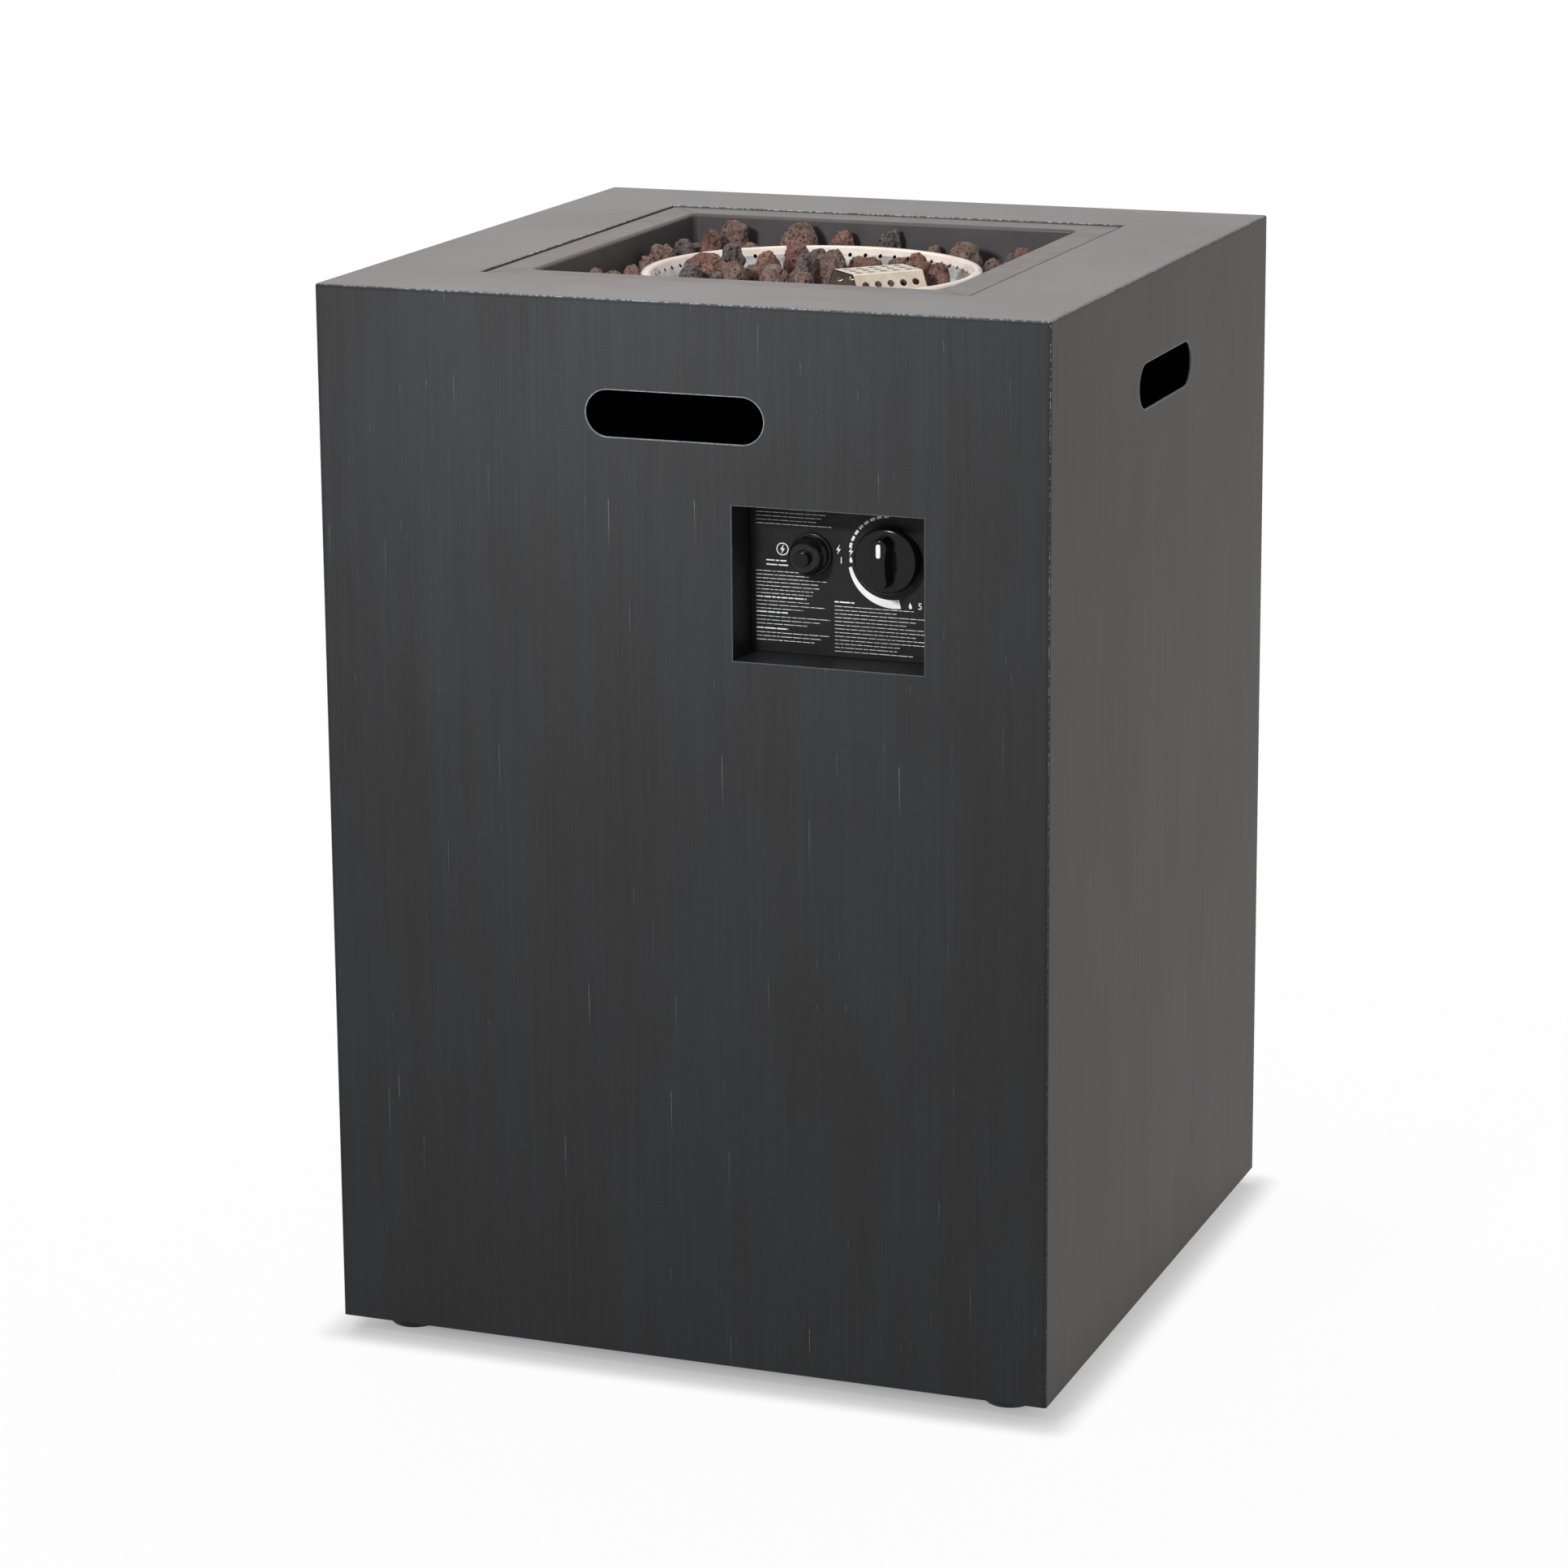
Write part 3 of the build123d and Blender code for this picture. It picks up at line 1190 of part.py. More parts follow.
# Level, width and sideways shift of a rock's sections, as shares of its height and half sizes
rock_sections = ((0.0, 0.64, 0.0), (0.24, 0.9, 0.04), (0.56, 0.94, 0.06), (0.84, 0.72, 0.12),
                 (1.0, 0.36, 0.2))


def add_rock(rock, floor, chance):
    """Rough many-sided stone with its flat base on the floor, joined to the part in hand."""
    radii = [chance.uniform(0.84, 1.0) for _ in range(rock_sides)]
    lean = chance.uniform(0, 2 * pi)
    turn = radians(rock.turn)
    faces = []
    for level, width, shift in rock_sections:
        shift_x, shift_y = shift * cos(lean) * rock.half_x, shift * sin(lean) * rock.half_y
        points = []
        for side, radius in enumerate(radii):
            angle = 2 * pi * side / rock_sides
            points.append((shift_x + rock.half_x * width * radius * cos(angle),
                           shift_y + rock.half_y * width * radius * sin(angle)))
        plane = Plane(origin=(rock.x, rock.y, floor + level * rock.height), x_dir=(cos(turn), sin(turn), 0),
                      z_dir=(0, 0, 1))
        with BuildSketch(plane) as section:
            Polygon(*points, align=None)
        faces.append(section.sketch.faces()[0])
    loft(faces, ruled=True)


def post(x, y, radius):
    """Obstacle of a round piece that stands in a rock bed."""
    return Rock(x, y, radius, radius, 0.0, 0.0, "")


chance = Random(11)
bolts = [post(x, y, bolt_head_radius) for x, y in bolt_places]
beds = [(tray_floor, lay_rocks(outer_rocks, tray_floor, beside_ring, bolts, outer_fill_height, chance)),
        (dish_floor, lay_rocks(inner_rocks, dish_floor, in_dish, [], inner_fill_height, chance))]
for colour in ("red", "brown", "grey"):
    with BuildPart() as lava_rocks:
        for floor, rocks in beds:
            for rock in rocks:
                if rock.colour == colour:
                    add_rock(rock, floor, chance)
    write(lava_rocks, f"lava_rocks_{colour}")
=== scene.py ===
"""Looks of a square gas fire pit: finishes, lava stones, dial marks, floor, light and camera."""

import json
from math import cos, pi, radians, sin
from random import Random

import bpy
from bpy.props import FloatProperty, FloatVectorProperty, PointerProperty
from bpy.types import NodeSocket, Operator, Panel, PropertyGroup
from mathutils import Matrix, Vector

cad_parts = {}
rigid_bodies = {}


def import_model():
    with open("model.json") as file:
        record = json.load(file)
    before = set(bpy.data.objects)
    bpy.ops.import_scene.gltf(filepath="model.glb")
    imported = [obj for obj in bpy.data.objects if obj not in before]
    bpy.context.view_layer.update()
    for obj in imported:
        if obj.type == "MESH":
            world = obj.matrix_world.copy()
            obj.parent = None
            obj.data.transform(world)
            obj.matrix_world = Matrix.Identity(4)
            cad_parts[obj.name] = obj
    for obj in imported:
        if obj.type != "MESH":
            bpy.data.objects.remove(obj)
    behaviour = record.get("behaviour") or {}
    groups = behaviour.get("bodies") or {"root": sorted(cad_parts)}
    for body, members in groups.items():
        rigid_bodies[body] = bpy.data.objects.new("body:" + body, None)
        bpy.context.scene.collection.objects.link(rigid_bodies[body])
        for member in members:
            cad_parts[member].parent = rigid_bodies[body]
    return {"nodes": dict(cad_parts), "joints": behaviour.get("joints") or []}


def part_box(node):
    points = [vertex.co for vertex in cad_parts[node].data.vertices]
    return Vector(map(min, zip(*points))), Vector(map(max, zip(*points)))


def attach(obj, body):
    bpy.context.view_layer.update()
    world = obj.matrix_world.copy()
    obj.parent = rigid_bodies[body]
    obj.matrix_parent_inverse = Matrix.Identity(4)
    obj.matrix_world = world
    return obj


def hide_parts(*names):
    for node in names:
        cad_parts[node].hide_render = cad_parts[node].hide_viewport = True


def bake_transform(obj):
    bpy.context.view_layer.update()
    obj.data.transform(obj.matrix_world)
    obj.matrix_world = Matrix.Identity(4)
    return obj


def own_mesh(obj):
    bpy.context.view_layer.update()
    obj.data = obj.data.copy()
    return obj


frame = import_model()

bl_info = {
    "name": "Fire pit looks",
    "version": (1, 0, 0),
    "blender": (4, 5, 0),
    "location": "View3D > Sidebar > Fire pit",
    "description": "Dresses the packed fire pit with finishes, lava stones, dial marks and a studio",
    "category": "Object",
}

MM = 0.001
AXES = "XYZ"
SAME_VERTEX = 0.01 * MM
SAME_LETTER_VERTEX = 0.001 * MM
CAPITAL_SHARE = 0.7  # height of a figure as a share of its font size

# Places on the body, in metres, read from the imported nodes
FRONT_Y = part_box("front_panel")[0].y
RIGHT_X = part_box("right_panel")[1].x
BODY_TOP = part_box("top_frame")[1].z
TRAY_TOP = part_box("burner_tray")[1].z
DISH_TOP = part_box("burner_dish")[1].z
RIM_GAP = 2.5 * MM  # between the tray's flange and the edge of the rim
OPENING_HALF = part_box("burner_tray")[1].x + RIM_GAP
SLOT_HEIGHT = 30 * MM
SLOT_LENGTH = 120 * MM
SLOT_Z = BODY_TOP - 73 * MM
PLATE_LOW, PLATE_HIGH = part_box("control_plate")
PLATE_GAP = 0.5 * MM  # between the plate and the edge of the window
KNOB_LOW, KNOB_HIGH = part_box("control_knob")
KNOB_CENTRE = (KNOB_LOW + KNOB_HIGH) / 2
WINDOW_CENTRE = (PLATE_LOW + PLATE_HIGH) / 2
STONE_TOP = BODY_TOP - 0.2 * MM  # no stone stands higher than this

# Floor: distances from the outline of the body, outwards or inwards
FLOOR_RADIUS = 16.0
CONTACT_FADE = 25 * MM  # the painted shadow along the foot of the body, over its real shadow, ends here
SHADOW_END, WHITE_START = 0.1, 0.5  # between them the shadow fades to plain white
COVERED_FADE = 10 * MM, 60 * MM  # between them the floor under the body turns dark

# Brushed paint and its scratches
SCRATCH_CELL = 4.5  # widths of a scratch from one scratch to the next
SCRATCH_LEAN = 0.35
LONG_SHARE, SHORT_SHARE = 0.008, 0.004  # share of the places for a scratch that hold one
CLUSTER = 0.006  # how much that share changes over the body
SHORT_LENGTH, SHORT_WIDTH, SHORT_STRENGTH = 0.24, 0.9, 0.5  # of the long scratches
WORN_FOOT = 0.15  # height below which the edges are least rubbed

# Printed plate: places in millimetres from the knob's axis, x to the right and z up
PLATE_LEFT = (PLATE_LOW.x - KNOB_CENTRE.x) / MM
PLATE_RIGHT = (PLATE_HIGH.x - KNOB_CENTRE.x) / MM
DASH_ANGLES = range(95, 170, 10)
DASH_HALF_ANGLE = 3.5
DASH_HALF_WIDTH = 0.85
ARC_START, ARC_END = 195, 283
ARC_INNER, ARC_OUTER = (26.3, 26.6), (28.4, 32.4)  # radii at its start and its end
RING_INNER, RING_OUTER = (3.5, 3.5), (4.1, 4.1)
SPARK_PLACE = (-26.0, 3.0)
SPARK_COPIES = ((-8.3, 0.7), (-46.0, -1.5))
FLAME_PLACE = (-26.0, -2.2)
FLAME_HEIGHT = 4.2
FLAME_COPY = (39.5, -27.0)
RING_COPY = (-72.0, 1.5)
FIGURES = (("0", 9.0, 29.0), ("1", -32.5, -3.4), ("5", 20.0, -29.4))
RULES_LEFT, RULES_MIDDLE, RULES_RIGHT = PLATE_LEFT + 3.5, -40.0, PLATE_RIGHT - 4
SECOND_BLOCK = -37.0  # left edge of the rules under the knob
ROW = 2.45  # from one thin rule to the next
RULE_RUNS = (2.0, 7.5)  # shortest and longest run of a broken rule
RULE_BREAK = 0.7


def colour_property(name, description, default):
    return FloatVectorProperty(name=name, description=description, default=default, size=3, min=0.0, max=1.0,
                               subtype="COLOR")


def length_property(name, description, default):
    return FloatProperty(name=name, description=description, default=default, min=0.0, unit="LENGTH",
                         precision=5)


def angle_property(name, description, degrees):
    return FloatProperty(name=name, description=description, default=radians(degrees), unit="ROTATION")


def power_property(name, description, default):
    return FloatProperty(name=name, description=description, default=default, min=0.0, unit="POWER")


def share_property(name, description, default):
    return FloatProperty(name=name, description=description, default=default, min=0.0, max=1.0,
                         subtype="FACTOR")


class PaintSettings(PropertyGroup):
    """Paint of the body"""

    charcoal: colour_property("Charcoal", "Main colour of the body paint", (0.037, 0.036, 0.037))
    blue_grey: colour_property("Blue grey", "Cooler bands of the body paint", (0.0355, 0.0368, 0.0395))
    # Painted light: the sides are the same paint as the front, painted warmer and redder for the warm light
    # that falls on them
    side: colour_property("Side", "Paint of the left and right sides", (0.0395, 0.0303, 0.0282))
    # Painted sheen: the rim is the same paint as the body, painted much lighter for the glancing light on the
    # top
    rim: colour_property("Rim", "Paint of the rim", (0.096, 0.081, 0.077))
    bare_edge: colour_property("Bare edge", "Metal that shows on rubbed edges", (0.30, 0.34, 0.38))
    scratch: colour_property("Scratch", "Colour of the scratches in the paint", (0.20, 0.245, 0.30))
    # Painted shade: a dark bluish line along the edges, for the shade in the gap round the top opening and
    # along the outer edges
    edge_shade_line: colour_property("Worn line", "Dark line along a rubbed edge", (0.030, 0.040, 0.049))
    scratch_width: length_property("Scratch width", "Width of the long pale scratches", 0.42 * MM)
    scratch_length: length_property("Scratch length", "Longest pale scratches", 50 * MM)
    edge_width: length_property("Edge width", "Width of the rubbed line on the outer edges", 0.95 * MM)
    opening_width: length_property("Opening line", "Width of the rubbed line round the openings", 0.6 * MM)
    # Painted shade: the recess is the body paint, painted far darker for the shade inside it
    recess: colour_property("Recess", "Paint of the control recess", (0.012, 0.012, 0.013))
    # Painted shade and soot: the walls are the same heatproof paint as the flange, painted darker for the
    # shade and soot inside the tray
    tray_flange: colour_property("Tray flange", "Heatproof paint of the tray's flange", (0.085, 0.073, 0.067))
    tray_wall_soot_and_shade: colour_property("Tray wall", "Heatproof paint inside the tray", (0.070, 0.066, 0.067))


class RockSettings(PropertyGroup):
    """Lava stones"""

    red: colour_property("Red", "Red-brown lava", (0.165, 0.080, 0.062))
    brown: colour_property("Brown", "Brown lava", (0.155, 0.095, 0.076))
    grey: colour_property("Grey", "Grey lava", (0.092, 0.073, 0.068))
    lump_size: length_property("Lump size", "Size of the lumps on a stone", 13 * MM)
    lump_height: length_property("Lump height", "Height of the lumps on a stone", 6.0 * MM)
    knob_size: length_property("Knob size", "Size of the small knobs on a stone", 4.5 * MM)
    knob_height: length_property("Knob height", "Height of the small knobs on a stone", 2.2 * MM)
    pit_size: length_property("Pit size", "Distance between the larger pits", 3.6 * MM)
    pit_depth: length_property("Pit depth", "Depth of the larger pits", 1.8 * MM)


class DialSettings(PropertyGroup):
    """Printed marks on the control plate"""

    ink: colour_property("Ink", "Colour of the printed marks", (0.78, 0.78, 0.76))
    thickness: length_property("Ink thickness", "Height of the print above the plate", 0.08 * MM)
    dash_radius: length_property("Dash radius", "Radius of the ring of dashes round the knob", 27 * MM)
    figure_height: length_property("Figure height", "Height of the figures", 4.2 * MM)
    rule_height: length_property("Rule height", "Height of the thin printed rules", 0.35 * MM)
    heavy_rule: length_property("Heavy rule", "Height of the heavier rules that head a block", 0.8 * MM)


class StudioSettings(PropertyGroup):
    """Camera and light"""

    place: FloatVectorProperty(name="Camera place", description="Place of the camera", size=3, unit="LENGTH",
                               default=(1.1178, -2.9830, 1.1718), subtype="XYZ")
    yaw: angle_property("Yaw", "Turn of the camera about Z", 20.907)
    pitch: angle_property("Pitch", "Tilt of the camera", -12.735)
    roll: angle_property("Roll", "Roll of the camera", 0.425)
    lens: FloatProperty(name="Lens", description="Focal length", default=109.96, min=1.0, unit="CAMERA")
    shift: FloatProperty(name="Shift", description="Upward shift of the frame", default=-0.1004)
    overhead: power_property("Overhead", "Power of the lamp above", 31.5)
    side: power_property("Side", "Power of the side lamp", 11.0)
    front: power_property("Front", "Power of the lamp before the top", 2.0)
    room: FloatProperty(name="Room", description="Strength of the light from all round", default=0.42,
                        min=0.0)
    floor_white: share_property("Floor white", "Share of plain white in the floor near the object", 0.96)
    # Painted shadow: a lower share of plain white at the body's foot darkens the floor there
    contact_white: share_property("Contact white", "Share of plain white at the foot of the body", 0.42)


class Finish:
    """A procedural material: the Principled shader and the nodes that feed it, all on Object coordinates."""

    def __init__(self, name, colour, roughness, metallic=0.0):
        self.material = bpy.data.materials.new(name)
        self.material.use_nodes = True
        self.tree = self.material.node_tree
        self.shader = self.tree.nodes["Principled BSDF"]
        self.place = self.add("ShaderNodeTexCoord").outputs["Object"]
        self.set("Base Color", (*colour, 1.0) if isinstance(colour, (tuple, list)) else colour)
        self.set("Roughness", roughness)
        self.set("Metallic", metallic)

    def add(self, kind, **settings):
        node = self.tree.nodes.new(kind)
        for key, value in settings.items():
            setattr(node, key, value)
        return node

    def feed(self, socket, value):
        """Links a socket to another, or writes a plain value on it."""
        if isinstance(value, NodeSocket):
            self.tree.links.new(value, socket)
        else:
            socket.default_value = value

    def set(self, name, value):
        self.feed(self.shader.inputs[name], value)

    def math(self, operation, *values):
        node = self.add("ShaderNodeMath", operation=operation)
        for socket, value in zip(node.inputs, values):
            self.feed(socket, value)
        return node.outputs[0]

    def product(self, *values):
        """The values multiplied, one after the other."""
        result = values[0]
        for value in values[1:]:
            result = self.math("MULTIPLY", result, value)
        return result

    def off(self, value, middle):
        """How far a value is from a middle one, either way."""
        return self.math("ABSOLUTE", self.math("SUBTRACT", value, middle))

    def diagonal(self, first, second):
        """Length of the slope over two sides at right angles."""
        return self.math("SQRT", self.math("ADD", self.product(first, first), self.product(second, second)))

    def axes(self):
        """The X, Y and Z sockets of the place on the object."""
        split = self.add("ShaderNodeSeparateXYZ")
        self.feed(split.inputs[0], self.place)
        return split.outputs

    def stretched(self, scale, offset=(0.0, 0.0, 0.0)):
        """The place times a scale: one for all axes, or one for each."""
        mapping = self.add("ShaderNodeMapping")
        self.feed(mapping.inputs["Vector"], self.place)
        mapping.inputs["Scale"].default_value = scale if isinstance(scale, tuple) else (scale,) * 3
        mapping.inputs["Location"].default_value = offset
        return mapping.outputs[0]

    def noise(self, scale, detail=2.0, rough=0.5, offset=(0.0, 0.0, 0.0)):
        """Cloudy pattern from 0 to 1, scale in patches per metre."""
        node = self.add("ShaderNodeTexNoise")
        self.feed(node.inputs["Vector"], self.stretched(scale, offset))
        node.inputs["Scale"].default_value = 1.0
        node.inputs["Detail"].default_value = detail
        node.inputs["Roughness"].default_value = rough
        return node.outputs[0]

    def cells(self, scale, offset=(0.0, 0.0, 0.0)):
        """Distance to the nearest seed and a random value of that seed, scale in cells per metre."""
        node = self.add("ShaderNodeTexVoronoi")
        self.feed(node.inputs["Vector"], self.stretched(scale, offset))
        node.inputs["Scale"].default_value = 1.0
        split = self.add("ShaderNodeSeparateColor")
        self.feed(split.inputs[0], node.outputs["Color"])
        return node.outputs["Distance"], split.outputs[0]

    def seeds(self, scale, offset=(0.0, 0.0, 0.0)):
        """Place seen from the nearest seed of a grid of cells, and two random values of that seed."""
        node = self.add("ShaderNodeTexVoronoi")
        place = self.stretched(scale, offset)
        self.feed(node.inputs["Vector"], place)
        node.inputs["Scale"].default_value = 1.0
        seen = self.add("ShaderNodeVectorMath", operation="SUBTRACT")
        self.feed(seen.inputs[0], place)
        self.feed(seen.inputs[1], node.outputs["Position"])
        split = self.add("ShaderNodeSeparateXYZ")
        self.feed(split.inputs[0], seen.outputs[0])
        chance = self.add("ShaderNodeSeparateColor")
        self.feed(chance.inputs[0], node.outputs["Color"])
        return split.outputs, chance.outputs[0], chance.outputs[1]

    def rise(self, value, low, high, start=0.0, end=1.0):
        """Smooth step of a value from low to high, giving start to end."""
        node = self.add("ShaderNodeMapRange", interpolation_type="SMOOTHSTEP")
        for socket, number in zip(node.inputs, (value, low, high, start, end)):
            self.feed(socket, number)
        return node.outputs[0]

    def scaled(self, vector, factor):
        """A colour or vector made stronger or weaker."""
        node = self.add("ShaderNodeVectorMath", operation="SCALE")
        self.feed(node.inputs[0], vector)
        self.feed(node.inputs["Scale"], factor)
        return node.outputs[0]

    def mix(self, share, first, second):
        """Mix of two colours by a share from 0 to 1."""
        node = self.add("ShaderNodeMix", data_type="RGBA")
        colours = [(*c, 1.0) if isinstance(c, (tuple, list)) and len(c) == 3 else c for c in (first, second)]
        for socket, value in zip((node.inputs[0], node.inputs[6], node.inputs[7]), (share, *colours)):
            self.feed(socket, value)
        return node.outputs[2]

    def bump(self, *layers):
        """Bumps of (height, depth in metres), one laid over the other."""
        normal = None
        for height, depth in layers:
            node = self.add("ShaderNodeBump")
            node.inputs["Strength"].default_value = 1.0
            node.inputs["Distance"].default_value = depth
            self.feed(node.inputs["Height"], height)
            if normal is not None:
                self.feed(node.inputs["Normal"], normal)
            normal = node.outputs[0]
        self.set("Normal", normal)


def rgb(settings_colour):
    return tuple(settings_colour)


def shaded(colour, factor):
    """The colour made lighter or darker."""
    return tuple(part * factor for part in colour)


def brushed(along, lengthwise, crosswise):
    """Scale of a pattern with one value along the brushing and another across it."""
    return tuple(lengthwise if axis == along else crosswise for axis in AXES)


def dress(finish, *nodes):
    """Gives CAD nodes a finish."""
    for name in nodes:
        data = frame["nodes"][name].data
        data.materials.clear()
        data.materials.append(finish.material)


def opening_lines(finish, axes, width):
    """How near a place is to the rubbed edge of a hand slot or of the control window, from 0 to 1."""
    x, y, z = axes[0], axes[1], axes[2]
    along = finish.math("MINIMUM", finish.math("ABSOLUTE", x), finish.math("ABSOLUTE", y))
    past = finish.math("MAXIMUM", finish.math("SUBTRACT", along, (SLOT_LENGTH - SLOT_HEIGHT) / 2), 0.0)
    above = finish.math("SUBTRACT", z, SLOT_Z)
    slot = finish.off(finish.diagonal(past, above), SLOT_HEIGHT / 2)
    slot = finish.rise(slot, width * 0.6, width * 1.4, 1.0, 0.0)
    half_x = (PLATE_HIGH.x - PLATE_LOW.x) / 2 + PLATE_GAP
    half_z = (PLATE_HIGH.z - PLATE_LOW.z) / 2 + PLATE_GAP
    beside = finish.math("SUBTRACT", finish.off(x, WINDOW_CENTRE.x), half_x)
    over = finish.math("SUBTRACT", finish.off(z, WINDOW_CENTRE.z), half_z)
    window = finish.math("ABSOLUTE", finish.math("MAXIMUM", beside, over))
    on_front = finish.math("LESS_THAN", y, FRONT_Y + 3 * MM)
    window = finish.product(finish.rise(window, 0.0, width, 0.55, 0.0), on_front)
    return finish.math("MAXIMUM", slot, window)


def edge_distance(finish, axes):
    """Distance to the nearest outer edge of the body or to the edge of its top opening."""
    from_middle_x = finish.math("ABSOLUTE", axes[0])
    from_middle_y = finish.math("ABSOLUTE", axes[1])
    to_side = finish.math("SUBTRACT", RIGHT_X, from_middle_x)
    to_front = finish.math("SUBTRACT", -FRONT_Y, from_middle_y)
    to_top = finish.math("SUBTRACT", BODY_TOP, axes[2])
    nearer = finish.math("MINIMUM", to_side, to_front)
    further = finish.math("MAXIMUM", to_side, to_front)
    outer = finish.math("MAXIMUM", nearer, finish.math("MINIMUM", further, to_top))
    from_middle = finish.math("MAXIMUM", from_middle_x, from_middle_y)
    inner = finish.off(from_middle, OPENING_HALF)
    return finish.math("MINIMUM", outer, finish.math("ADD", inner, to_top))


def scratches(finish, along, across, length, width, share, cluster):
    """Thin lines that start bright at one end and fade towards the other, each a little off the brushing."""
    seen, chance, strength = finish.seeds(brushed(along, 1.0 / length, 1.0 / (width * SCRATCH_CELL)))
    lengthwise, sideways = seen[AXES.index(along)], seen[AXES.index(across)]
    lean = finish.product(finish.rise(strength, 0.0, 1.0, -SCRATCH_LEAN, SCRATCH_LEAN), lengthwise)
    aside = finish.math("ABSOLUTE", finish.math("ADD", sideways, lean))
    line = finish.rise(aside, 0.05, 0.12, 1.0, 0.0)
    bright_end = finish.rise(lengthwise, 0.30, 0.38, 1.0, 0.0)
    beads = finish.rise(finish.noise(brushed(along, 420.0, 20.0), 2.0), 0.36, 0.52, 0.35, 1.0)
    fade = finish.product(finish.rise(lengthwise, -0.48, 0.25), bright_end, beads)
    picked = finish.math("GREATER_THAN", finish.math("ADD", chance, cluster), 1.0 - share)
    return finish.product(line, fade, picked, finish.rise(strength, 0.1, 0.9, 0.35, 1.0))


def body_paint(name, paint, colour, gloss, mottle, along, across):
    """Charcoal paint brushed along one axis, with rubbed edges, painted shade along the edges and a few pale
    scratches.
    """
    finish = Finish(name, colour, 0.38)
    hair = finish.noise(brushed(along, 9.0, 1000.0), 3.0, 0.6)
    bands = finish.noise(brushed(along, 2.5, 42.0), 4.0, 0.6)
    threads = finish.noise(brushed(along, 800.0, 40.0), 2.0, 0.5)
    clouds = finish.noise((9.0, 9.0, 6.0), 2.0, 0.5)
    patchy = finish.noise(430.0, 4.0, 0.65)

    cooler = tuple(shade * cool / warm for shade, cool, warm in zip(colour, paint.blue_grey, paint.charcoal))
    base = finish.mix(finish.rise(finish.math("ADD", bands, clouds), 0.85, 1.15), colour, cooler)
    light = finish.math("ADD", finish.rise(hair, 0.25, 0.75, -0.09, 0.09),
                        finish.rise(bands, 0.25, 0.75, -0.035, 0.045))
    light = finish.math("ADD", light, finish.rise(threads, 0.3, 0.7, -0.03, 0.03))
    light = finish.math("ADD", light, finish.rise(clouds, 0.3, 0.7, 1.0 - mottle, 1.0 + mottle))
    base = finish.scaled(base, light)

    cluster = finish.rise(clouds, 0.35, 0.65, -CLUSTER, CLUSTER)
    long_marks = scratches(finish, along, across, paint.scratch_length, paint.scratch_width, LONG_SHARE,
                           cluster)
    short_marks = scratches(finish, along, across, paint.scratch_length * SHORT_LENGTH,
                            paint.scratch_width * SHORT_WIDTH, SHORT_SHARE, cluster)
    marks = finish.math("MAXIMUM", long_marks, finish.product(short_marks, SHORT_STRENGTH))

    axes = finish.axes()
    worn = finish.product(finish.rise(axes[2], WORN_FOOT, BODY_TOP, 0.25, 1.0),
                          finish.rise(clouds, 0.3, 0.7, 0.6, 1.0))
    openings = finish.product(opening_lines(finish, axes, paint.opening_width),
                              finish.rise(patchy, 0.35, 0.6, 0.35, 0.7))
    near = finish.math("DIVIDE", edge_distance(finish, axes), paint.edge_width)
    # Painted shade: a darker band just beside the edge line
    base = finish.scaled(base, finish.rise(finish.off(near, 1.8), 0.2, 1.4, 0.75, 1.0))
    line = finish.rise(near, 0.3, 1.1, 1.0, 0.0)
    flecks = finish.product(line, worn, finish.rise(patchy, 0.46, 0.60))

    base = finish.mix(finish.product(marks, 0.8), base, rgb(paint.scratch))
    base = finish.mix(openings, base, rgb(paint.bare_edge))
    # Painted shade: the dark bluish line along the edges, under the bare-metal flecks
    base = finish.mix(finish.product(line, 0.7), base, rgb(paint.edge_shade_line))
    finish.set("Base Color", finish.mix(flecks, base, shaded(paint.bare_edge, 1.3)))
    finish.set("Roughness", finish.rise(hair, 0.2, 0.8, 0.34, 0.44))
    finish.set("Specular IOR Level", gloss)
    finish.bump((hair, 0.004 * MM), (bands, 0.02 * MM))
    return finish


def plain_paint(name, colour, roughness, depth=0.02 * MM):
    """Sprayed paint with a faint orange peel and slight changes of tone."""
    finish = Finish(name, colour, roughness)
    cloud = finish.noise(40.0, 3.0)
    grain = finish.noise(900.0, 2.0)
    darker, lighter = shaded(colour, 0.86), shaded(colour, 1.18)
    finish.set("Base Color", finish.mix(finish.rise(cloud, 0.3, 0.7), darker, lighter))
    finish.set("Roughness", finish.rise(cloud, 0.3, 0.7, roughness - 0.05, roughness + 0.06))
    finish.bump((grain, depth))
    return finish


def bare_metal(name, colour, roughness, grain=(120.0, 120.0, 900.0), depth=0.01 * MM, tarnish=None):
    """Metal with a fine grain, and a warmer tarnish in patches where one is given."""
    finish = Finish(name, colour, roughness, 1.0)
    lines = finish.noise(grain, 3.0, 0.6)
    cloud = finish.noise(70.0, 3.0, 0.6)
    second = tarnish or shaded(colour, 0.82)
    finish.set("Base Color", finish.mix(finish.rise(cloud, 0.35, 0.7), colour, second))
    finish.set("Roughness", finish.rise(lines, 0.25, 0.75, roughness - 0.06, roughness + 0.10))
    finish.bump((lines, depth))
    return finish


def moulded(name, colour, roughness, depth=0.01 * MM, grain=1500.0):
    """Moulded plastic or rubber with a fine grain and faint wear."""
    finish = Finish(name, colour, roughness)
    fine = finish.noise(grain, 2.0)
    cloud = finish.noise(90.0, 2.0)
    finish.set("Base Color", finish.mix(finish.rise(cloud, 0.3, 0.7), colour, shaded(colour, 1.35)))
    finish.set("Roughness", finish.rise(cloud, 0.3, 0.7, roughness * 0.85, roughness * 1.2))
    finish.bump((fine, depth))
    return finish


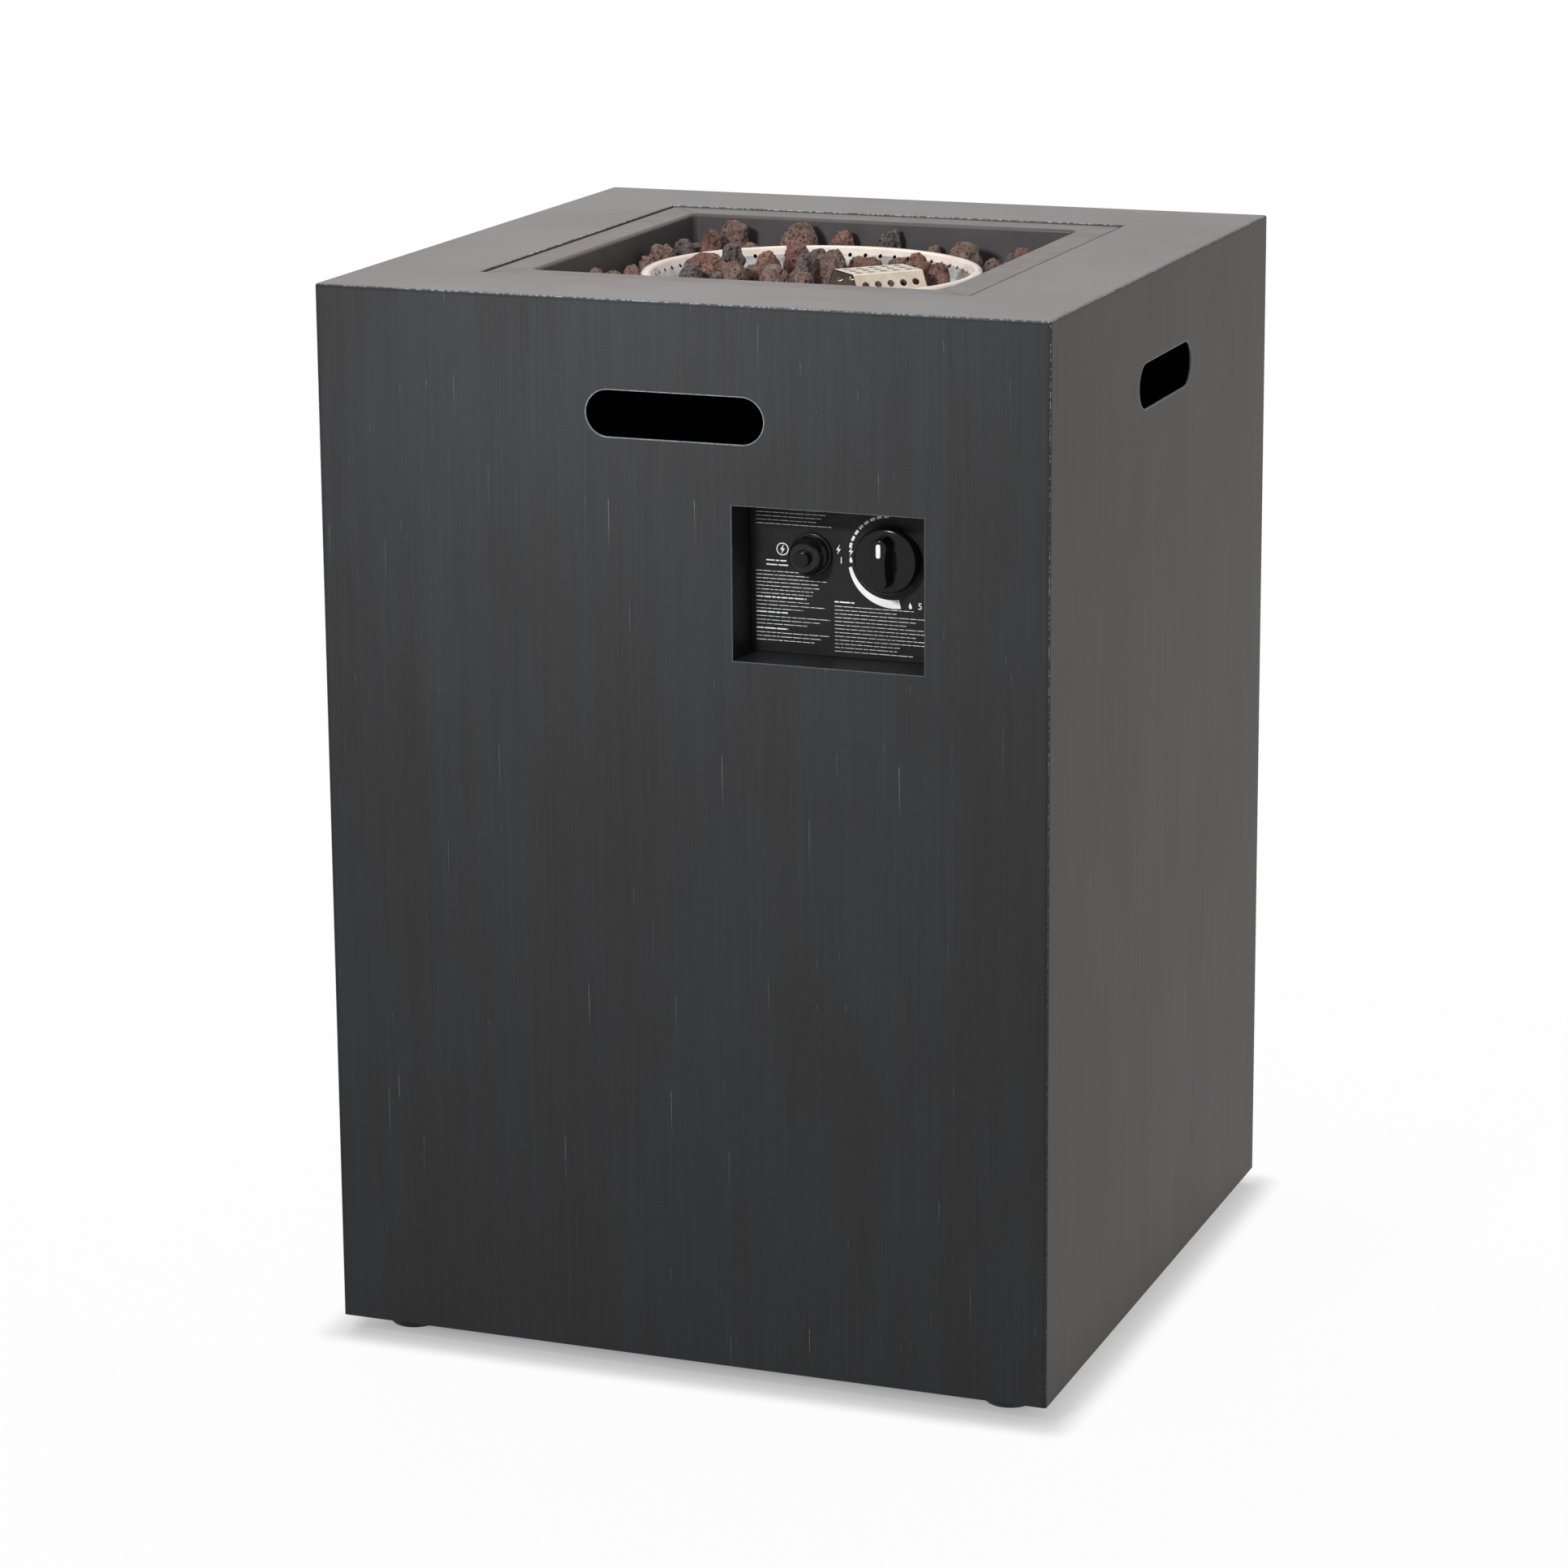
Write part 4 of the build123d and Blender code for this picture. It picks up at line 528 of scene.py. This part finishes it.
class FIREPIT_OT_body(Operator):
    """Paint the body panels, the rim and the recess"""

    bl_idname = "firepit.body"
    bl_label = "Body paint"

    def execute(self, context):
        paint = context.scene.firepit_paint
        for name, colour, gloss, mottle, along, across, panels in (
                ("body_paint_front", paint.charcoal, 0.12, 0.04, "Z", "X", ("front_panel", "rear_panel")),
                # The sides' warmer colour is painted light, a warm-lit copy of the charcoal paint
                ("body_paint_side", paint.side, 0.085, 0.10, "Z", "Y", ("left_panel", "right_panel")),
                # The rim's lighter colour is a painted sheen on the same charcoal paint
                ("body_paint_rim", paint.rim, 0.26, 0.14, "X", "Y", ("top_frame",))):
            dress(body_paint(name, paint, rgb(colour), gloss, mottle, along, across), *panels)
        # Painted shade: the recess is painted far darker than the body paint, for the shade inside it
        recess = plain_paint("recess_paint", rgb(paint.recess), 0.45)
        recess.set("Specular IOR Level", 0.2)
        dress(recess, "control_housing")
        dress(plain_paint("inner_paint", shaded(paint.charcoal, 0.7), 0.55), "corner_angles", "foot_gussets")
        dress(moulded("foot_rubber", (0.012, 0.012, 0.012), 0.6, 0.03 * MM, 900.0), "feet")
        return {"FINISHED"}


class FIREPIT_OT_burner(Operator):
    """Finish the tray, the burner, its guard and sensors, and what hangs below the tray"""

    bl_idname = "firepit.burner"
    bl_label = "Burner"

    def execute(self, context):
        paint = context.scene.firepit_paint
        tray = plain_paint("tray_paint", rgb(paint.tray_flange), 0.42)
        # Painted shade and soot: below the flange the tray is painted darker and patchier
        under = tray.rise(tray.axes()[2], TRAY_TOP - 3 * MM, TRAY_TOP - 1.5 * MM, 1.0, 0.0)
        wall_soot_and_shade = tray.mix(tray.rise(tray.noise(30.0, 3.0), 0.35, 0.7), rgb(paint.tray_wall_soot_and_shade),
                        shaded(paint.tray_wall_soot_and_shade, 0.8))
        flange = tray.shader.inputs["Base Color"].links[0].from_socket
        tray.set("Base Color", tray.mix(under, flange, wall_soot_and_shade))
        tray.set("Specular IOR Level", 0.25)
        dress(tray, "burner_tray")
        dish = Finish("burner_steel", (0.6, 0.6, 0.6), 0.3)
        swirl = dish.noise((25.0, 25.0, 400.0), 3.0, 0.6)
        stain = dish.rise(dish.noise(60.0, 3.0, 0.6), 0.35, 0.7)
        on_rim = dish.rise(dish.axes()[2], DISH_TOP - 5.6 * MM, DISH_TOP - 4.8 * MM)
        steel = dish.mix(stain, (0.46, 0.45, 0.44), (0.22, 0.20, 0.19))
        cream = dish.mix(stain, (0.70, 0.61, 0.54), (0.62, 0.53, 0.46))
        dish.set("Base Color", dish.mix(on_rim, steel, cream))
        dish.set("Metallic", dish.rise(on_rim, 0.0, 1.0, 1.0, 0.1))
        dish.set("Roughness", dish.rise(swirl, 0.3, 0.7, 0.16, 0.30))
        dish.bump((swirl, 0.02 * MM))
        dress(dish, "burner_dish")
        guard = bare_metal("guard_steel", (0.54, 0.48, 0.40), 0.30, (400.0, 400.0, 60.0), 0.01 * MM,
                           (0.47, 0.39, 0.30))
        guard.set("Metallic", 0.85)
        # Painted shade: faces turned towards -X, at the guard's open end, are painted near black for the
        # shade inside it
        facing = guard.add("ShaderNodeSeparateXYZ")
        guard.feed(facing.inputs[0], guard.add("ShaderNodeTexCoord").outputs["Normal"])
        unshaded_guard = guard.shader.inputs["Base Color"].links[0].from_socket
        painted_shade_end = guard.rise(facing.outputs[0], -0.7, -0.4, 1.0, 0.0)
        guard.set("Base Color", guard.mix(painted_shade_end, unshaded_guard, (0.016, 0.013, 0.012)))
        dress(guard, "igniter_guard", "guard_screws")
        sheet_steel = bare_metal("sheet_steel", (0.58, 0.57, 0.55), 0.38, tarnish=(0.46, 0.42, 0.37))
        dress(sheet_steel, "heat_shield", "burner_base", "burner_inlet", "sensor_sleeves")
        zinc = bare_metal("zinc_plate", (0.66, 0.67, 0.68), 0.36, 500.0)
        dress(zinc, "foot_screws", "foot_nuts", "shield_bolts", "shield_nuts", "shield_spacers",
              "housing_studs", "housing_nuts", "valve_screws", "inlet_nut", "inlet_washer", "igniter_nut",
              "spring_seat")
        iron = bare_metal("cast_iron", (0.16, 0.155, 0.15), 0.6, 700.0, 0.08 * MM)
        iron.set("Metallic", 0.6)
        dress(iron, "air_mixer")
        brass = bare_metal("turned_brass", (0.78, 0.60, 0.28), 0.28, (60.0, 60.0, 1500.0), 0.01 * MM,
                           (0.62, 0.44, 0.20))
        dress(brass, "orifice_fitting", "pipe_nuts", "valve_inlet", "valve_bonnet", "valve_spindle")
        alloy = bare_metal("cast_alloy", (0.62, 0.63, 0.65), 0.46, 600.0, 0.05 * MM)
        dress(alloy, "gas_valve")
        dress(bare_metal("drawn_tube", (0.78, 0.79, 0.80), 0.26, 60.0), "gas_pipe")
        rod = bare_metal("heat_wire", (0.52, 0.49, 0.46), 0.34, 300.0, 0.01 * MM, (0.34, 0.26, 0.24))
        dress(rod, "spark_rod", "flame_probe")
        dress(plain_paint("white_ceramic", (0.80, 0.78, 0.74), 0.28, 0.01 * MM), "spark_insulator")
        dress(moulded("lead_jacket", (0.016, 0.015, 0.015), 0.42, 0.02 * MM), "lead_boot", "ignition_lead",
              "probe_lead")
        dress(plain_paint("battery_jacket", (0.14, 0.17, 0.20), 0.3, 0.01 * MM), "igniter_battery")
        return {"FINISHED"}


def nothing_selected():
    """Leaves edit mode and deselects everything."""
    if bpy.context.mode != "OBJECT":
        bpy.ops.object.mode_set(mode="OBJECT")
    bpy.ops.object.select_all(action="DESELECT")


def only(piece):
    """Makes a piece the one selected and active object."""
    nothing_selected()
    piece.select_set(True)
    bpy.context.view_layer.objects.active = piece


def apply_modifiers(piece):
    only(piece)
    for name in [modifier.name for modifier in piece.modifiers]:
        bpy.ops.object.modifier_apply(modifier=name)


def settle(piece, name, body, finish, replaced=()):
    """Names a finished piece, gives it its finish, and fastens it to a body, if one is given."""
    piece.name = name
    piece.data.name = name
    piece.data.materials.clear()
    piece.data.materials.append(finish.material)
    if body:
        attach(piece, body)
    if replaced:
        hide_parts(*replaced)


def copy_of(node, name):
    """A loose copy of a CAD node with its doubles merged."""
    source = frame["nodes"][node]
    piece = bpy.data.objects.new(name, source.data.copy())
    bpy.context.collection.objects.link(piece)
    only(piece)
    piece.data.materials.clear()
    bpy.ops.object.mode_set(mode="EDIT")
    bpy.ops.mesh.customdata_custom_splitnormals_clear()
    bpy.ops.mesh.select_all(action="SELECT")
    bpy.ops.mesh.remove_doubles(threshold=SAME_VERTEX)
    bpy.ops.mesh.tris_convert_to_quads(face_threshold=radians(60), shape_threshold=radians(60))
    bpy.ops.object.mode_set(mode="OBJECT")
    return piece


def lava_finish(name, colour, seed):
    """Porous lava: rough, with small pores, and a tone that changes from stone to stone."""
    finish = Finish(name, colour, 0.92)
    offset = (seed, seed * 2, seed * 3)
    stones = finish.noise(17.0, 1.0, 0.5, offset)
    cloud = finish.noise(85.0, 4.0, 0.65, offset)
    grains = finish.noise(800.0, 3.0, 0.7, offset)
    pore_distance, pore_chance = finish.cells(520.0, offset)
    hole_distance, hole_chance = finish.cells(250.0, offset)
    red, green, blue = colour
    purple = (red * 0.93, green * 0.93, blue * 0.95)
    olive = (red * 0.90, green * 1.04, blue * 0.94)
    dusty = tuple(min(1.0, part * 1.55 + 0.02) for part in colour)
    dark = shaded(colour, 0.45)
    base = finish.mix(finish.rise(stones, 0.38, 0.48), purple, colour)
    base = finish.mix(finish.rise(stones, 0.50, 0.62), base, olive)
    base = finish.mix(finish.rise(cloud, 0.42, 0.70), base, dusty)
    base = finish.mix(finish.rise(grains, 0.58, 0.34), base, dark)
    # Painted shade: the pores and the larger holes are bumps only, painted dark for the shade inside them
    pores = finish.product(finish.rise(pore_distance, 0.14, 0.40, 1.0, 0.0),
                           finish.rise(pore_chance, 0.2, 0.8, 0.3, 0.9))
    base = finish.mix(pores, base, dark)
    holes = finish.product(finish.rise(hole_distance, 0.16, 0.36, 1.0, 0.0),
                           finish.rise(hole_chance, 0.30, 0.45))
    finish.set("Base Color", finish.mix(finish.product(holes, 0.85), base, shaded(colour, 0.28)))
    finish.bump((finish.math("SUBTRACT", 1.0, holes), 1.0 * MM),
                (finish.rise(pore_distance, 0.14, 0.40), 0.5 * MM), (grains, 0.25 * MM))
    return finish


class FIREPIT_OT_lava_rocks(Operator):
    """Roughen the lava stones, lump by lump and pit by pit"""

    bl_idname = "firepit.lava_rocks"
    bl_label = "Lava stones"

    def execute(self, context):
        rocks = context.scene.firepit_rocks
        lumps = bpy.data.textures.new("lava_lumps", "CLOUDS")
        lumps.noise_scale = rocks.lump_size
        lumps.noise_depth = 1
        knobs = bpy.data.textures.new("lava_knobs", "CLOUDS")
        knobs.noise_scale = rocks.knob_size
        knobs.noise_depth = 2
        pits = bpy.data.textures.new("lava_pits", "VORONOI")
        pits.noise_scale = rocks.pit_size
        pits.use_color_ramp = True
        for element, (position, shade) in zip(pits.color_ramp.elements, ((0.08, 0.0), (0.42, 1.0))):
            element.position = position
            element.color = (shade, shade, shade, 1.0)
        for seed, colour in enumerate(("red", "brown", "grey")):
            node = f"lava_rocks_{colour}"
            stones = copy_of(node, f"lava_stones_{colour}")
            for kind, levels in (("SIMPLE", 1), ("CATMULL_CLARK", 1)):
                rounding = stones.modifiers.new("rounding", "SUBSURF")
                rounding.subdivision_type = kind
                rounding.levels = rounding.render_levels = levels
            for texture, height, middle in ((lumps, rocks.lump_height, 0.5), (knobs, rocks.knob_height, 0.55),
                                            (pits, rocks.pit_depth, 1.0)):
                relief = stones.modifiers.new("relief", "DISPLACE")
                relief.texture = texture
                relief.texture_coords = "LOCAL"
                relief.strength = height
                relief.mid_level = middle
            apply_modifiers(stones)
            for vertex in stones.data.vertices:
                vertex.co.z = min(vertex.co.z, STONE_TOP)
            bpy.ops.object.shade_smooth()
            finish = lava_finish(f"lava_{colour}", rgb(getattr(rocks, colour)), 3.0 + seed)
            settle(stones, f"lava_stones_{colour}", "root", finish, (node,))
        return {"FINISHED"}


class FIREPIT_OT_springs(Operator):
    """Put smooth copies of the coil springs in spring steel: one its joint presses rides on the joint's
    parent body, the others stand loose with their place applied
    """

    bl_idname = "firepit.springs"
    bl_label = "Springs"

    def execute(self, context):
        steel = bare_metal("spring_steel", (0.66, 0.66, 0.67), 0.24, 900.0)
        dress(steel, "battery_contact")
        for joint in frame["joints"]:
            for spring in joint.get("deforming_nodes", ()):
                node, fixed_y, travel = spring["node"], spring["fixed_end_y_m"], joint["range_m"][1]
                low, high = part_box(node)
                free_y = low.y if abs(low.y - fixed_y) > abs(high.y - fixed_y) else high.y
                coil = copy_of(node, node)
                bpy.ops.object.shade_smooth_by_angle(angle=radians(40))
                name = f"{joint['name']}_spring"
                pressed = joint["axis"][1] * (fixed_y - free_y) > 0
                if pressed:
                    settle(coil, name, joint["parent"], steel, (node,))
                    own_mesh(coil)
                else:
                    settle(coil, name, None, steel, (node,))
                    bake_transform(coil)
        return {"FINISHED"}


class FIREPIT_OT_controls(Operator):
    """Finish the control plate, the knob and the spark igniter"""

    bl_idname = "firepit.controls"
    bl_label = "Controls"

    def execute(self, context):
        plate = moulded("plate_black", (0.009, 0.008, 0.008), 0.5, 0.02 * MM)
        plate.set("Specular IOR Level", 0.2)
        dress(plate, "control_plate")
        gloss = moulded("gloss_black", (0.004, 0.004, 0.004), 0.12, 0.003 * MM)
        gloss.set("Specular IOR Level", 0.22)
        dress(gloss, "control_knob", "igniter_button")
        satin = moulded("satin_black", (0.006, 0.006, 0.006), 0.24, 0.008 * MM)
        satin.set("Specular IOR Level", 0.28)
        dress(satin, "igniter_cap", "igniter_body")
        dress(moulded("pointer_white", (0.78, 0.78, 0.76), 0.35, 0.005 * MM), "knob_pointer")
        return {"FINISHED"}


def on_plate(x, z):
    """Place on the face of the plate, x and z from the knob's axis in metres."""
    return Vector((KNOB_CENTRE.x + x, PLATE_LOW.y, KNOB_CENTRE.z + z))


def put_outline(piece, points):
    """Sets the corners of a flat mark: points are (x, z) in millimetres from the knob's axis."""
    for vertex, (x, z) in zip(piece.data.vertices, points):
        vertex.co = on_plate(x * MM, z * MM)
    return piece


def printed(points, name="mark"):
    """Flat mark on the plate with this outline."""
    nothing_selected()
    bpy.ops.mesh.primitive_circle_add(vertices=len(points), radius=MM, fill_type="NGON")
    bpy.context.object.name = name
    return put_outline(bpy.context.object, points)


def copied(piece, dx=0.0, dz=0.0):
    """A copy of a mark with its own mesh, moved over the plate by millimetres."""
    twin = bpy.data.objects.new(piece.name, piece.data.copy())
    bpy.context.collection.objects.link(twin)
    twin.data.transform(Matrix.Translation((dx * MM, 0, dz * MM)))
    return twin


def join(pieces, name):
    """Makes one piece of several."""
    nothing_selected()
    for piece in pieces:
        piece.select_set(True)
    bpy.context.view_layer.objects.active = pieces[0]
    if len(pieces) > 1:
        bpy.ops.object.join()
    joined = bpy.context.view_layer.objects.active
    joined.name = name
    return joined


def raise_print(piece, thickness):
    """Gives a flat print its thickness, towards the viewer."""
    only(piece)
    bpy.ops.object.mode_set(mode="EDIT")
    bpy.ops.mesh.select_all(action="SELECT")
    bpy.ops.mesh.extrude_region_move(TRANSFORM_OT_translate={"value": (0, -thickness, 0)})
    bpy.ops.mesh.select_all(action="SELECT")
    bpy.ops.mesh.normals_make_consistent(inside=False)
    bpy.ops.object.mode_set(mode="OBJECT")


def numeral(text, height, x, z):
    """A plain figure standing on the plate."""
    nothing_selected()
    bpy.ops.object.text_add(location=on_plate(x, z), rotation=(pi / 2, 0, 0))
    figure = bpy.context.object
    figure.data.body = text
    figure.data.size = height / CAPITAL_SHARE
    figure.data.align_x = "CENTER"
    figure.data.align_y = "CENTER"
    only(figure)
    bpy.ops.object.convert(target="MESH")
    figure = bpy.context.object
    bpy.ops.object.transform_apply(location=True, rotation=True, scale=True)
    bpy.ops.object.mode_set(mode="EDIT")
    bpy.ops.mesh.select_all(action="SELECT")
    bpy.ops.mesh.remove_doubles(threshold=SAME_LETTER_VERTEX)
    bpy.ops.object.mode_set(mode="OBJECT")
    return figure


def ring_piece(start, end, inner, outer, steps):
    """Outline of part of a ring whose radii may change along it; angles in degrees, radii in millimetres."""
    def edge(radii, shares):
        places = [(radians(start + (end - start) * share), radii[0] + (radii[1] - radii[0]) * share)
                  for share in shares]
        return [(radius * cos(angle), radius * sin(angle)) for angle, radius in places]

    shares = [step / steps for step in range(steps + 1)]
    return edge(outer, shares) + edge(inner, shares[::-1])


def spark_mark(x, z):
    """A small bolt: the same three points on each side, one the half turn of the other."""
    half = [(0.9, 3.2), (-1.6, -0.4), (-0.1, -0.4)]
    return printed([(x + sign * dx, z + sign * dz) for sign in (1, -1) for dx, dz in half], "spark_mark")


def flame_mark(x, z, height):
    """A small flame: a drop that draws out to a leaning tip."""
    turns = [2 * pi * step / 20 for step in range(20)]
    drop = [(0.36 * height * sin(turn) * sin(turn / 2) ** 1.5, -0.5 * height * cos(turn)) for turn in turns]
    lean = [(dx + 0.10 * dz, -dz) for dx, dz in drop]
    return printed([(x + dx, z + dz) for dx, dz in lean], "flame_mark")


def rule_rows(dice, rule, left, right, rows, height):
    """Copies of a rule in rows, each row broken at random into short runs; sizes in millimetres."""
    marks = []
    for row in rows:
        x, end = left, left + (right - left) * dice.uniform(0.62, 1.0)
        while x < end:
            run = min(dice.uniform(*RULE_RUNS), end - x)
            outline = [(x, row), (x + run, row), (x + run, row + height), (x, row + height)]
            marks.append(put_outline(copied(rule), outline))
            x += run + RULE_BREAK
    return marks


class FIREPIT_OT_dial_marks(Operator):
    """Print the dial round the knob, its figures and the thin rules on the plate"""

    bl_idname = "firepit.dial_marks"
    bl_label = "Dial marks"

    def execute(self, context):
        dial = context.scene.firepit_dial
        ink = plain_paint("print_white", rgb(dial.ink), 0.5, 0.002 * MM)
        radius = dial.dash_radius / MM
        inner, outer = (radius - DASH_HALF_WIDTH,) * 2, (radius + DASH_HALF_WIDTH,) * 2
        dashes = [printed(ring_piece(angle - DASH_HALF_ANGLE, angle + DASH_HALF_ANGLE, inner, outer, 3))
                  for angle in DASH_ANGLES]
        swell = [printed(ring_piece(ARC_START, ARC_END, ARC_INNER, ARC_OUTER, 28))]
        spark = spark_mark(*SPARK_PLACE)
        flame = flame_mark(*FLAME_PLACE, FLAME_HEIGHT)
        ring = [printed(ring_piece(start, start + 120, RING_INNER, RING_OUTER, 14))
                for start in (0, 120, 240)]
        signs = [spark, *(copied(spark, *place) for place in SPARK_COPIES), flame, copied(flame, *FLAME_COPY)]
        signs += [copied(piece, *RING_COPY) for piece in ring]
        for piece in ring:
            bpy.data.objects.remove(piece)
        figures = [numeral(text, dial.figure_height, x * MM, z * MM) for text, x, z in FIGURES]
        dice = Random(7)
        thin, heavy = dial.rule_height / MM, dial.heavy_rule / MM
        left, middle, right = RULES_LEFT, RULES_MIDDLE, RULES_RIGHT
        rule = printed([(left, 30), (left + 5, 30), (left + 5, 31), (left, 31)], "rule")
        rules = []
        for start, end, rows, height in (
                (left, middle + 6, [32.0 - ROW * row for row in range(7)], thin),
                (left + 7, left + 24, [-6.5, -9.3], heavy),
                (left, middle, [-13.4 - 2.4 * row for row in range(7)], thin),
                (left, left + 34, [-30.4, -40.2, -50.7], heavy),
                (left, middle, [head - ROW * row for head in (-32.8, -42.7, -53.2) for row in range(3)],
                 thin),
                (SECOND_BLOCK, -20.0, [-30.5], heavy),
                (SECOND_BLOCK, right, [-33.1 - 2.42 * row for row in range(13)], thin)):
            rules += rule_rows(dice, rule, start, end, rows, height)
        bpy.data.objects.remove(rule)
        for name, parts in (("dial_dashes", dashes), ("dial_arc", swell), ("dial_signs", signs),
                            ("dial_figures", figures), ("printed_rules", rules)):
            piece = join(parts, name)
            raise_print(piece, dial.thickness)
            settle(piece, name, "root", ink)
        return {"FINISHED"}


def white_room(scene, strength):
    """A world that lights with this strength, and is plain white to the eye and in gloss and glass."""
    world = bpy.data.worlds.new("white_room")
    scene.world = world
    world.use_nodes = True
    nodes, links = world.node_tree.nodes, world.node_tree.links
    path = nodes.new("ShaderNodeLightPath")
    seen = path.outputs["Is Camera Ray"]
    for ray in ("Is Glossy Ray", "Is Transmission Ray"):
        either = nodes.new("ShaderNodeMath")
        either.operation = "MAXIMUM"
        links.new(seen, either.inputs[0])
        links.new(path.outputs[ray], either.inputs[1])
        seen = either.outputs[0]
    level = nodes.new("ShaderNodeMapRange")
    links.new(seen, level.inputs["Value"])
    level.inputs["To Min"].default_value = strength
    level.inputs["To Max"].default_value = 1.0
    background = nodes["Background"]
    links.new(level.outputs[0], background.inputs["Strength"])
    background.inputs["Color"].default_value = (1.0, 1.0, 1.0, 1.0)


def white_floor(studio):
    """A pale floor that keeps the shadow beside the body, with a painted shadow along the body's foot, and is
    dark below it and plain white far away.
    """
    nothing_selected()
    bpy.ops.mesh.primitive_circle_add(vertices=96, radius=FLOOR_RADIUS, fill_type="NGON", location=(0, 0, 0))
    floor = bpy.context.object
    floor.name = "floor"
    finish = Finish("white_floor", (0.86, 0.86, 0.86), 0.7)
    finish.set("Specular IOR Level", 0.1)
    halves = list(zip(finish.axes(), (RIGHT_X, -FRONT_Y)))
    beyond = [finish.math("MAXIMUM", finish.math("SUBTRACT", finish.math("ABSOLUTE", along), half), 0.0)
              for along, half in halves]
    within = [finish.math("SUBTRACT", half, finish.math("ABSOLUTE", along)) for along, half in halves]
    away = finish.diagonal(*beyond)
    # Painted shadow: less plain white near the body's outline darkens the floor there beyond its real shadow
    near_white = finish.rise(away, 0.0, CONTACT_FADE, studio.contact_white, studio.floor_white)
    white = finish.math("MAXIMUM", near_white, finish.rise(away, SHADOW_END, WHITE_START))
    uncovered = finish.rise(finish.math("MINIMUM", *within), *COVERED_FADE, 1.0, 0.0)
    glow = finish.add("ShaderNodeEmission")
    both = finish.add("ShaderNodeMixShader")
    finish.feed(both.inputs[0], finish.product(white, uncovered))
    finish.feed(both.inputs[1], finish.shader.outputs[0])
    finish.feed(both.inputs[2], glow.outputs[0])
    ray = finish.add("ShaderNodeLightPath")
    mirrored = finish.math("MAXIMUM", ray.outputs["Is Glossy Ray"], ray.outputs["Is Transmission Ray"])
    pick = finish.add("ShaderNodeMixShader")
    finish.feed(pick.inputs[0], finish.math("MAXIMUM", ray.outputs["Is Camera Ray"], mirrored))
    finish.feed(pick.inputs[1], finish.shader.outputs[0])
    finish.feed(pick.inputs[2], both.outputs[0])
    finish.feed(finish.tree.nodes["Material Output"].inputs["Surface"], pick.outputs[0])
    floor.data.materials.append(finish.material)


class FIREPIT_OT_studio(Operator):
    """Set the camera, the lamps, the white room and the floor"""

    bl_idname = "firepit.studio"
    bl_label = "Studio"

    def execute(self, context):
        studio = context.scene.firepit_studio
        turn = (Matrix.Rotation(studio.yaw, 4, "Z") @ Matrix.Rotation(studio.pitch, 4, "X")
                @ Matrix.Rotation(studio.roll, 4, "Y") @ Matrix.Rotation(pi / 2, 4, "X"))
        nothing_selected()
        bpy.ops.object.camera_add(location=studio.place, rotation=turn.to_euler())
        camera = bpy.context.object
        camera.data.lens = studio.lens
        camera.data.sensor_width = 36.0
        camera.data.shift_y = studio.shift
        camera.data.clip_end = 60.0
        context.scene.camera = camera

        warm, cool = (1.0, 0.955, 0.945), (0.96, 0.98, 1.0)
        body_middle, front_top = (0, 0, 0.45), (-0.05, FRONT_Y, 0.72)
        for name, power, tint, size, place, target, spread in (
                ("overhead_lamp", studio.overhead, warm, (2.4, 2.4), (-0.7, 0.5, 2.6), body_middle, 180),
                ("side_lamp", studio.side, warm, (1.6, 2.2), (2.4, 0.6, 1.6), body_middle, 180),
                ("front_lamp", studio.front, cool, (0.2, 0.15), (-0.15, -1.35, 1.2), front_top, 60)):
            bpy.ops.object.light_add(type="AREA", location=place)
            lamp = bpy.context.object
            lamp.name = name
            lamp.data.energy = power
            lamp.data.color = tint
            lamp.data.shape = "RECTANGLE"
            lamp.data.size, lamp.data.size_y = size
            lamp.data.spread = radians(spread)
            aim = Vector(target) - Vector(place)
            lamp.rotation_euler = aim.to_track_quat("-Z", "Y").to_euler()

        white_room(context.scene, studio.room)
        white_floor(studio)
        context.scene.view_settings.view_transform = "Standard"
        return {"FINISHED"}


class FIREPIT_PT_looks(Panel):
    """Sizes, colours and steps of the fire pit's looks"""

    bl_idname = "FIREPIT_PT_looks"
    bl_label = "Fire pit"
    bl_space_type = "VIEW_3D"
    bl_region_type = "UI"
    bl_category = "Fire pit"

    def draw(self, context):
        layout = self.layout
        for name in GROUPS:
            group = getattr(context.scene, name)
            box = layout.box()
            for key in group.__annotations__:
                box.prop(group, key)
        for step in STEPS:
            layout.operator(step.bl_idname)


GROUPS = {
    "firepit_paint": PaintSettings,
    "firepit_rocks": RockSettings,
    "firepit_dial": DialSettings,
    "firepit_studio": StudioSettings,
}
STEPS = (FIREPIT_OT_studio, FIREPIT_OT_body, FIREPIT_OT_burner, FIREPIT_OT_lava_rocks,
         FIREPIT_OT_springs, FIREPIT_OT_controls, FIREPIT_OT_dial_marks)
CLASSES = (*GROUPS.values(), *STEPS, FIREPIT_PT_looks)


def register():
    for item in CLASSES:
        bpy.utils.register_class(item)
    for name, group in GROUPS.items():
        setattr(bpy.types.Scene, name, PointerProperty(type=group))


def unregister():
    for name in GROUPS:
        delattr(bpy.types.Scene, name)
    for item in reversed(CLASSES):
        bpy.utils.unregister_class(item)


def main():
    """Runs every step in order."""
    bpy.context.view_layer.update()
    register()
    bpy.ops.firepit.studio()
    bpy.ops.firepit.body()
    bpy.ops.firepit.burner()
    bpy.ops.firepit.lava_rocks()
    bpy.ops.firepit.springs()
    bpy.ops.firepit.controls()
    bpy.ops.firepit.dial_marks()


if __name__ == "__main__":
    main()
